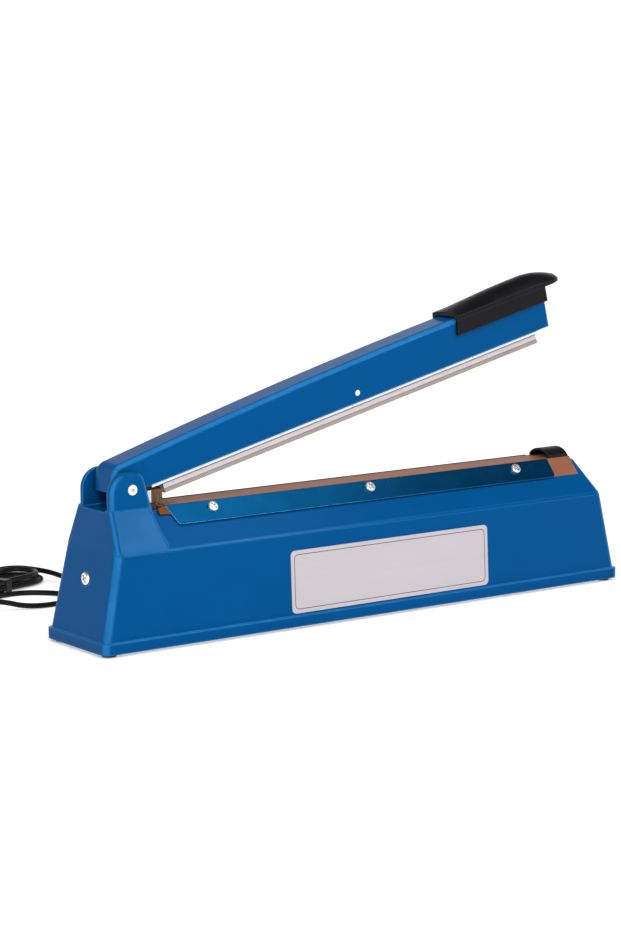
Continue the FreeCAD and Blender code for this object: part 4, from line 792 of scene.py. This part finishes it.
# Silicone strip under the pressure bar: a soft pad with two lips that grip the bar's lower edges
PAD_START, PAD_END, PAD_RUNS = 27.6, 340.0, 24
PAD_HALF, PAD_LIP = 8.4, 0.36
PAD_LOW, PAD_TOP, PAD_LIP_TOP = -12.86, -11.42, -10.35
PAD_ROUND, PAD_ROUND_MIDDLE = 0.35, 0.1
PAD_WAVE, PAD_WAVE_STEP = 0.04, 2.4


def silicone_pad():
    """The pad's section drawn along the bar in short runs, slightly uneven as cut rubber is."""
    half = [(PAD_HALF - PAD_ROUND, PAD_LOW), (PAD_HALF - PAD_ROUND_MIDDLE, PAD_LOW + PAD_ROUND_MIDDLE),
            (PAD_HALF, PAD_LOW + PAD_ROUND), (PAD_HALF, PAD_LIP_TOP), (PAD_HALF - PAD_LIP, PAD_LIP_TOP),
            (PAD_HALF - PAD_LIP, PAD_TOP)]
    section = half + [(-y, n) for y, n in reversed(half)]
    rings = []
    for k in range(PAD_RUNS + 1):
        s = PAD_START + (PAD_END - PAD_START) * k / PAD_RUNS
        swell = 1 + PAD_WAVE * math.sin(k * PAD_WAVE_STEP) / PAD_HALF
        rings.append([on_arm(s, y * swell, n) for y, n in section])
    bm = bmesh.new()
    loft(bm, rings)
    return mesh_from("silicone_pad", bm)


pad = piece("silicone_pad", silicone_pad(), "arm", silicone)
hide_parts("silicone_strip")


# Free end of the release tape, curling off the front slope beside the clamp plate
FLAP_START, FLAP_REACH = -148.2, 8.0
FLAP_EDGE_Y, FLAP_TOP = -10.45, 86.1
FLAP_RUN, FLAP_THICK, FLAP_CELLS = 7.0, 0.25, 8
FLAP_SLIP, FLAP_NARROWER = 0.15, 0.35
FLAP_LIFT, FLAP_CURL, FLAP_SWELL, FLAP_DROP = 0.3, 1.1, 0.35, 1.2
SLOPE_DOWN = Vector((0.0, -0.66, -0.75))
SLOPE_OUT = Vector((0.0, -0.75, 0.66))


def flap_place(share, across, skin):
    """A point of the flap by its share of the reach and of the width, at a height in its thickness."""
    run = FLAP_RUN * (FLAP_SLIP * share + (1 - FLAP_NARROWER * share) * across)
    lift = FLAP_LIFT + skin + FLAP_CURL * share ** 2 + FLAP_SWELL * math.sin(math.pi * across) * share
    top = at(FLAP_START - FLAP_REACH * share, FLAP_EDGE_Y, FLAP_TOP - FLAP_DROP * share ** 2)
    return top + (SLOPE_DOWN * run + SLOPE_OUT * lift) * MM


def tape_flap():
    """A thin sheet that follows the front slope from the bar's edge and lifts off it towards its end."""
    bm = bmesh.new()
    cells = range(FLAP_CELLS)
    steps = [k / FLAP_CELLS for k in range(FLAP_CELLS + 1)]
    sheets = []
    for skin in (0.0, FLAP_THICK):
        grid = []
        for share in steps:
            grid.append([bm.verts.new(flap_place(share, across, skin)) for across in steps])
        sheets.append(grid)
    for grid in sheets:
        for i in cells:
            for j in cells:
                bm.faces.new((grid[i][j], grid[i + 1][j], grid[i + 1][j + 1], grid[i][j + 1]))
    low, high = sheets
    last = FLAP_CELLS
    rim = [(k, 0) for k in cells] + [(last, k) for k in cells]
    rim += [(last - k, last) for k in cells] + [(0, last - k) for k in cells]
    for (a, b), (c, d) in zip(rim, rim[1:] + rim[:1]):
        bm.faces.new((low[a][b], low[c][d], high[c][d], high[a][b]))
    for face in bm.faces:
        face.smooth = True
    return mesh_from("tape_tail", bm)


piece("tape_tail", tape_flap(), "base", tape)


# Cord: one smooth line from the strain relief through the hank to the plug
CORD_RADIUS = 1.8
TIE_SHEET, TIE_GAP = 0.8, 0.1
HANK_CENTRE = (-165.0, 187.0)
HANK_ANGLE = math.radians(24.0)
HANK_TURNS, REVERSAL = 4, 2
HALF_RUN, END_RADIUS, PITCH = 34.0, 10.8, 5.0
WAIST, END_SWELL = 5.0, 1.045
LAYER = 4.6
LOWER = CORD_RADIUS + TIE_SHEET + TIE_GAP
RUN_SHARES = (0.02, 0.25, 0.5, 0.75, 0.98)
BEND_SHARES = (0.2, 0.4, 0.6, 0.8)
RUN_LENGTH = 2 * HALF_RUN
BEND_LENGTH = math.pi * (END_RADIUS + PITCH)
TURN_LENGTH = 2 * RUN_LENGTH + 2 * BEND_LENGTH
LEAVE_RUN, LEAVE_HEIGHT = 13, 2.2
LEAD = [(-120, 59.0, 18.4), (-120, 73.0, 19.1), (-118.5, 92, 14.5), (-115.5, 110, 7.0), (-111, 128, 2.6),
        (-107, 146, 1.9), (-105.2, 164, 2.6), (-107.2, 181, 4.6), (-110.4, 195.0, 6.4)]
TAIL = [(-162, 164.5, 1.8), (-149, 162.5, 1.8), (-138, 154.5, 1.8), (-130.5, 143.5, 1.8),
        (-128.5, 131.5, 1.8), (-136, 122.5, 1.8), (-148.5, 119, 1.8), (-163, 119.2, 1.8),
        (-175, 122.6, 2.74), (-184, 126.6, 5.325), (-192, 129.8, 6.5), (-200.0, 131.6, 6.5)]


def hank_place(u, v, z):
    """A point by its place along and across the hank."""
    c, s = math.cos(HANK_ANGLE), math.sin(HANK_ANGLE)
    return (HANK_CENTRE[0] + u * c - v * s, HANK_CENTRE[1] + u * s + v * c, z)


def hank_level(t):
    """The radius and height after so many turns: inwards on the upper layer, then out on the lower one."""
    radius = END_RADIUS + PITCH * abs(t - REVERSAL)
    blend = min(1.0, max(0.0, (t - REVERSAL) * TURN_LENGTH / RUN_LENGTH))
    return radius, LOWER + LAYER * (1 - 3 * blend ** 2 + 2 * blend ** 3)


def run_point(t, side, share):
    """A point of a straight run, drawn in at the waist where the tie holds it."""
    radius, z = hank_level(t)
    v = side * (radius - WAIST * math.sin(math.pi * share) ** 2)
    return hank_place(-side * (2 * share - 1) * HALF_RUN, v, z)


def bend_point(t, side, share):
    """A point of the bend at the end of a run."""
    radius, z = hank_level(t)
    a = math.pi * share
    wide = radius * END_SWELL
    return hank_place(-side * (HALF_RUN + wide * math.sin(a)), side * wide * math.cos(a), z)


def hank_points():
    """Turn by turn along the front, round, back along the rear and round, from the first bend's middle."""
    first = (RUN_LENGTH + 0.5 * BEND_LENGTH) / TURN_LENGTH
    stations = []
    for half_turn in range(2 * HANK_TURNS):
        side = -1 if half_turn % 2 == 0 else 1
        for share in RUN_SHARES:
            t = half_turn / 2 + share * RUN_LENGTH / TURN_LENGTH
            stations.append((t, run_point(t, side, share)))
        for share in BEND_SHARES:
            t = half_turn / 2 + (RUN_LENGTH + share * BEND_LENGTH) / TURN_LENGTH
            stations.append((t, bend_point(t, side, share)))
    return [place for t, place in stations if t > first]


def cord_curve():
    """The whole route as a round line of even thickness."""
    hank_end = hank_place(-HALF_RUN, -(END_RADIUS + 2 * PITCH), LOWER)
    along = (math.cos(HANK_ANGLE) * LEAVE_RUN, math.sin(HANK_ANGLE) * LEAVE_RUN)
    leave = (hank_end[0] + along[0], hank_end[1] + along[1], LEAVE_HEIGHT)
    route = LEAD + hank_points() + [hank_end, leave] + TAIL
    curve = bpy.data.curves.new("power_cord", "CURVE")
    curve.dimensions = "3D"
    curve.bevel_depth = CORD_RADIUS * MM
    curve.bevel_resolution = 5
    curve.use_fill_caps = True
    curve.resolution_u = 6
    spline = curve.splines.new("NURBS")
    spline.points.add(len(route) - 1)
    for point, place in zip(spline.points, route):
        point.co = (*at(*place), 1.0)
    spline.order_u = 3
    spline.use_endpoint_u = True
    return curve


cord = piece("power_cord", cord_curve(), "base", cord_jacket)
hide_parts("cord_lead", "cord_hank", "cord_tail")


# Floor: pale paint that takes the shadow, a little brighter where it is seen
FLOOR_HALF = 100.0
FLOOR_GLOW = 0.37
FLOOR_TONES = [(NOISE_LOW, (0.92, 0.92, 0.92)), (NOISE_HIGH, (0.94, 0.94, 0.94))]


def seen_rays(tree):
    """One for rays of the camera, of reflections and of transmission, nought for the rest."""
    path = tree.nodes.new("ShaderNodeLightPath")
    total = path.outputs["Is Camera Ray"]
    for kind in ("Is Glossy Ray", "Is Transmission Ray"):
        either = tree.nodes.new("ShaderNodeMath")
        either.operation = "MAXIMUM"
        tree.links.new(total, either.inputs[0])
        tree.links.new(path.outputs[kind], either.inputs[1])
        total = either.outputs["Value"]
    return total


def floor_paint():
    """Pale matt paint with a glow for the rays that see it."""
    m = Material("floor_paint")
    m.sockets(Base_Color=m.ramp(m.noise(scale=0.6), FLOOR_TONES), Roughness=0.9, Specular_IOR_Level=0.0)
    m.sockets(Emission_Color=WHITE, Emission_Strength=m.times(seen_rays(m.tree), FLOOR_GLOW))
    return m.data


floor_mesh = bpy.data.meshes.new("floor")
floor_corners = [(x * FLOOR_HALF, y * FLOOR_HALF, 0) for x, y in ((-1, -1), (1, -1), (1, 1), (-1, 1))]
floor_mesh.from_pydata(floor_corners, [], [(0, 1, 2, 3)])
floor_mesh.materials.append(floor_paint())
add_object("floor", floor_mesh)


# World: an even light, and for what is seen in it a studio that is white low down and grey above
WORLD_LIGHT = 0.58
STUDIO_TONES = [(0.35, WHITE), (0.62, (0.14, 0.14, 0.15, 1.0))]


def add_world():
    """The even light and the studio, told apart by the kind of ray."""
    world = bpy.data.worlds.new("studio")
    bpy.context.scene.world = world
    world.use_nodes = True
    tree = world.node_tree
    tree.nodes.clear()
    even = tree.nodes.new("ShaderNodeBackground")
    even.inputs["Color"].default_value = WHITE
    even.inputs["Strength"].default_value = WORLD_LIGHT
    direction = tree.nodes.new("ShaderNodeTexCoord")
    parts = tree.nodes.new("ShaderNodeSeparateXYZ")
    tree.links.new(direction.outputs["Generated"], parts.inputs[0])
    shade = tree.nodes.new("ShaderNodeValToRGB")
    for element, (place, tone) in zip(shade.color_ramp.elements, STUDIO_TONES):
        element.position = place
        element.color = tone
    tree.links.new(parts.outputs["Z"], shade.inputs["Fac"])
    seen = tree.nodes.new("ShaderNodeBackground")
    tree.links.new(shade.outputs["Color"], seen.inputs["Color"])
    mix = tree.nodes.new("ShaderNodeMixShader")
    tree.links.new(seen_rays(tree), mix.inputs["Fac"])
    tree.links.new(even.outputs["Background"], mix.inputs[1])
    tree.links.new(seen.outputs["Background"], mix.inputs[2])
    out = tree.nodes.new("ShaderNodeOutputWorld")
    tree.links.new(mix.outputs["Shader"], out.inputs["Surface"])


add_world()


# Lamps: a broad sky and four soft boxes, with places in metres
def add_light(name, data, place, aim):
    """A lamp at a place, turned to what it lights."""
    lamp = add_object(name, data)
    lamp.location = place
    lamp.rotation_euler = (Vector(aim) - Vector(place)).to_track_quat("-Z", "Y").to_euler()


def soft_box(name, place, aim, width, height, power):
    """A rectangular lamp."""
    data = bpy.data.lights.new(name, "AREA")
    data.shape = "RECTANGLE"
    data.size = width
    data.size_y = height
    data.energy = power
    add_light(name, data, place, aim)


sky = bpy.data.lights.new("sky_light", "SUN")
sky.angle = math.radians(70.0)
sky.energy = 0.40
add_light("sky_light", sky, place=(-0.5, -1.1, 2.4), aim=(0.0, 0.0, 0.0))
soft_box("key_box", place=(0.98, -1.40, 1.03), aim=(-0.1, 0.0, 0.08), width=0.36, height=0.22, power=7.0)
soft_box("top_box", place=(0.72, -0.55, 1.67), aim=(-0.1, 0.0, 0.08), width=0.7, height=0.7, power=3.0)
soft_box("left_box", place=(-0.95, -0.95, 0.85), aim=(-0.15, 0.0, 0.06), width=0.6, height=0.6, power=5.5)
soft_box("strip_box", place=(-0.8, -1.35, 0.5), aim=(-0.2, 0.0, 0.05), width=0.1, height=0.9, power=5.0)
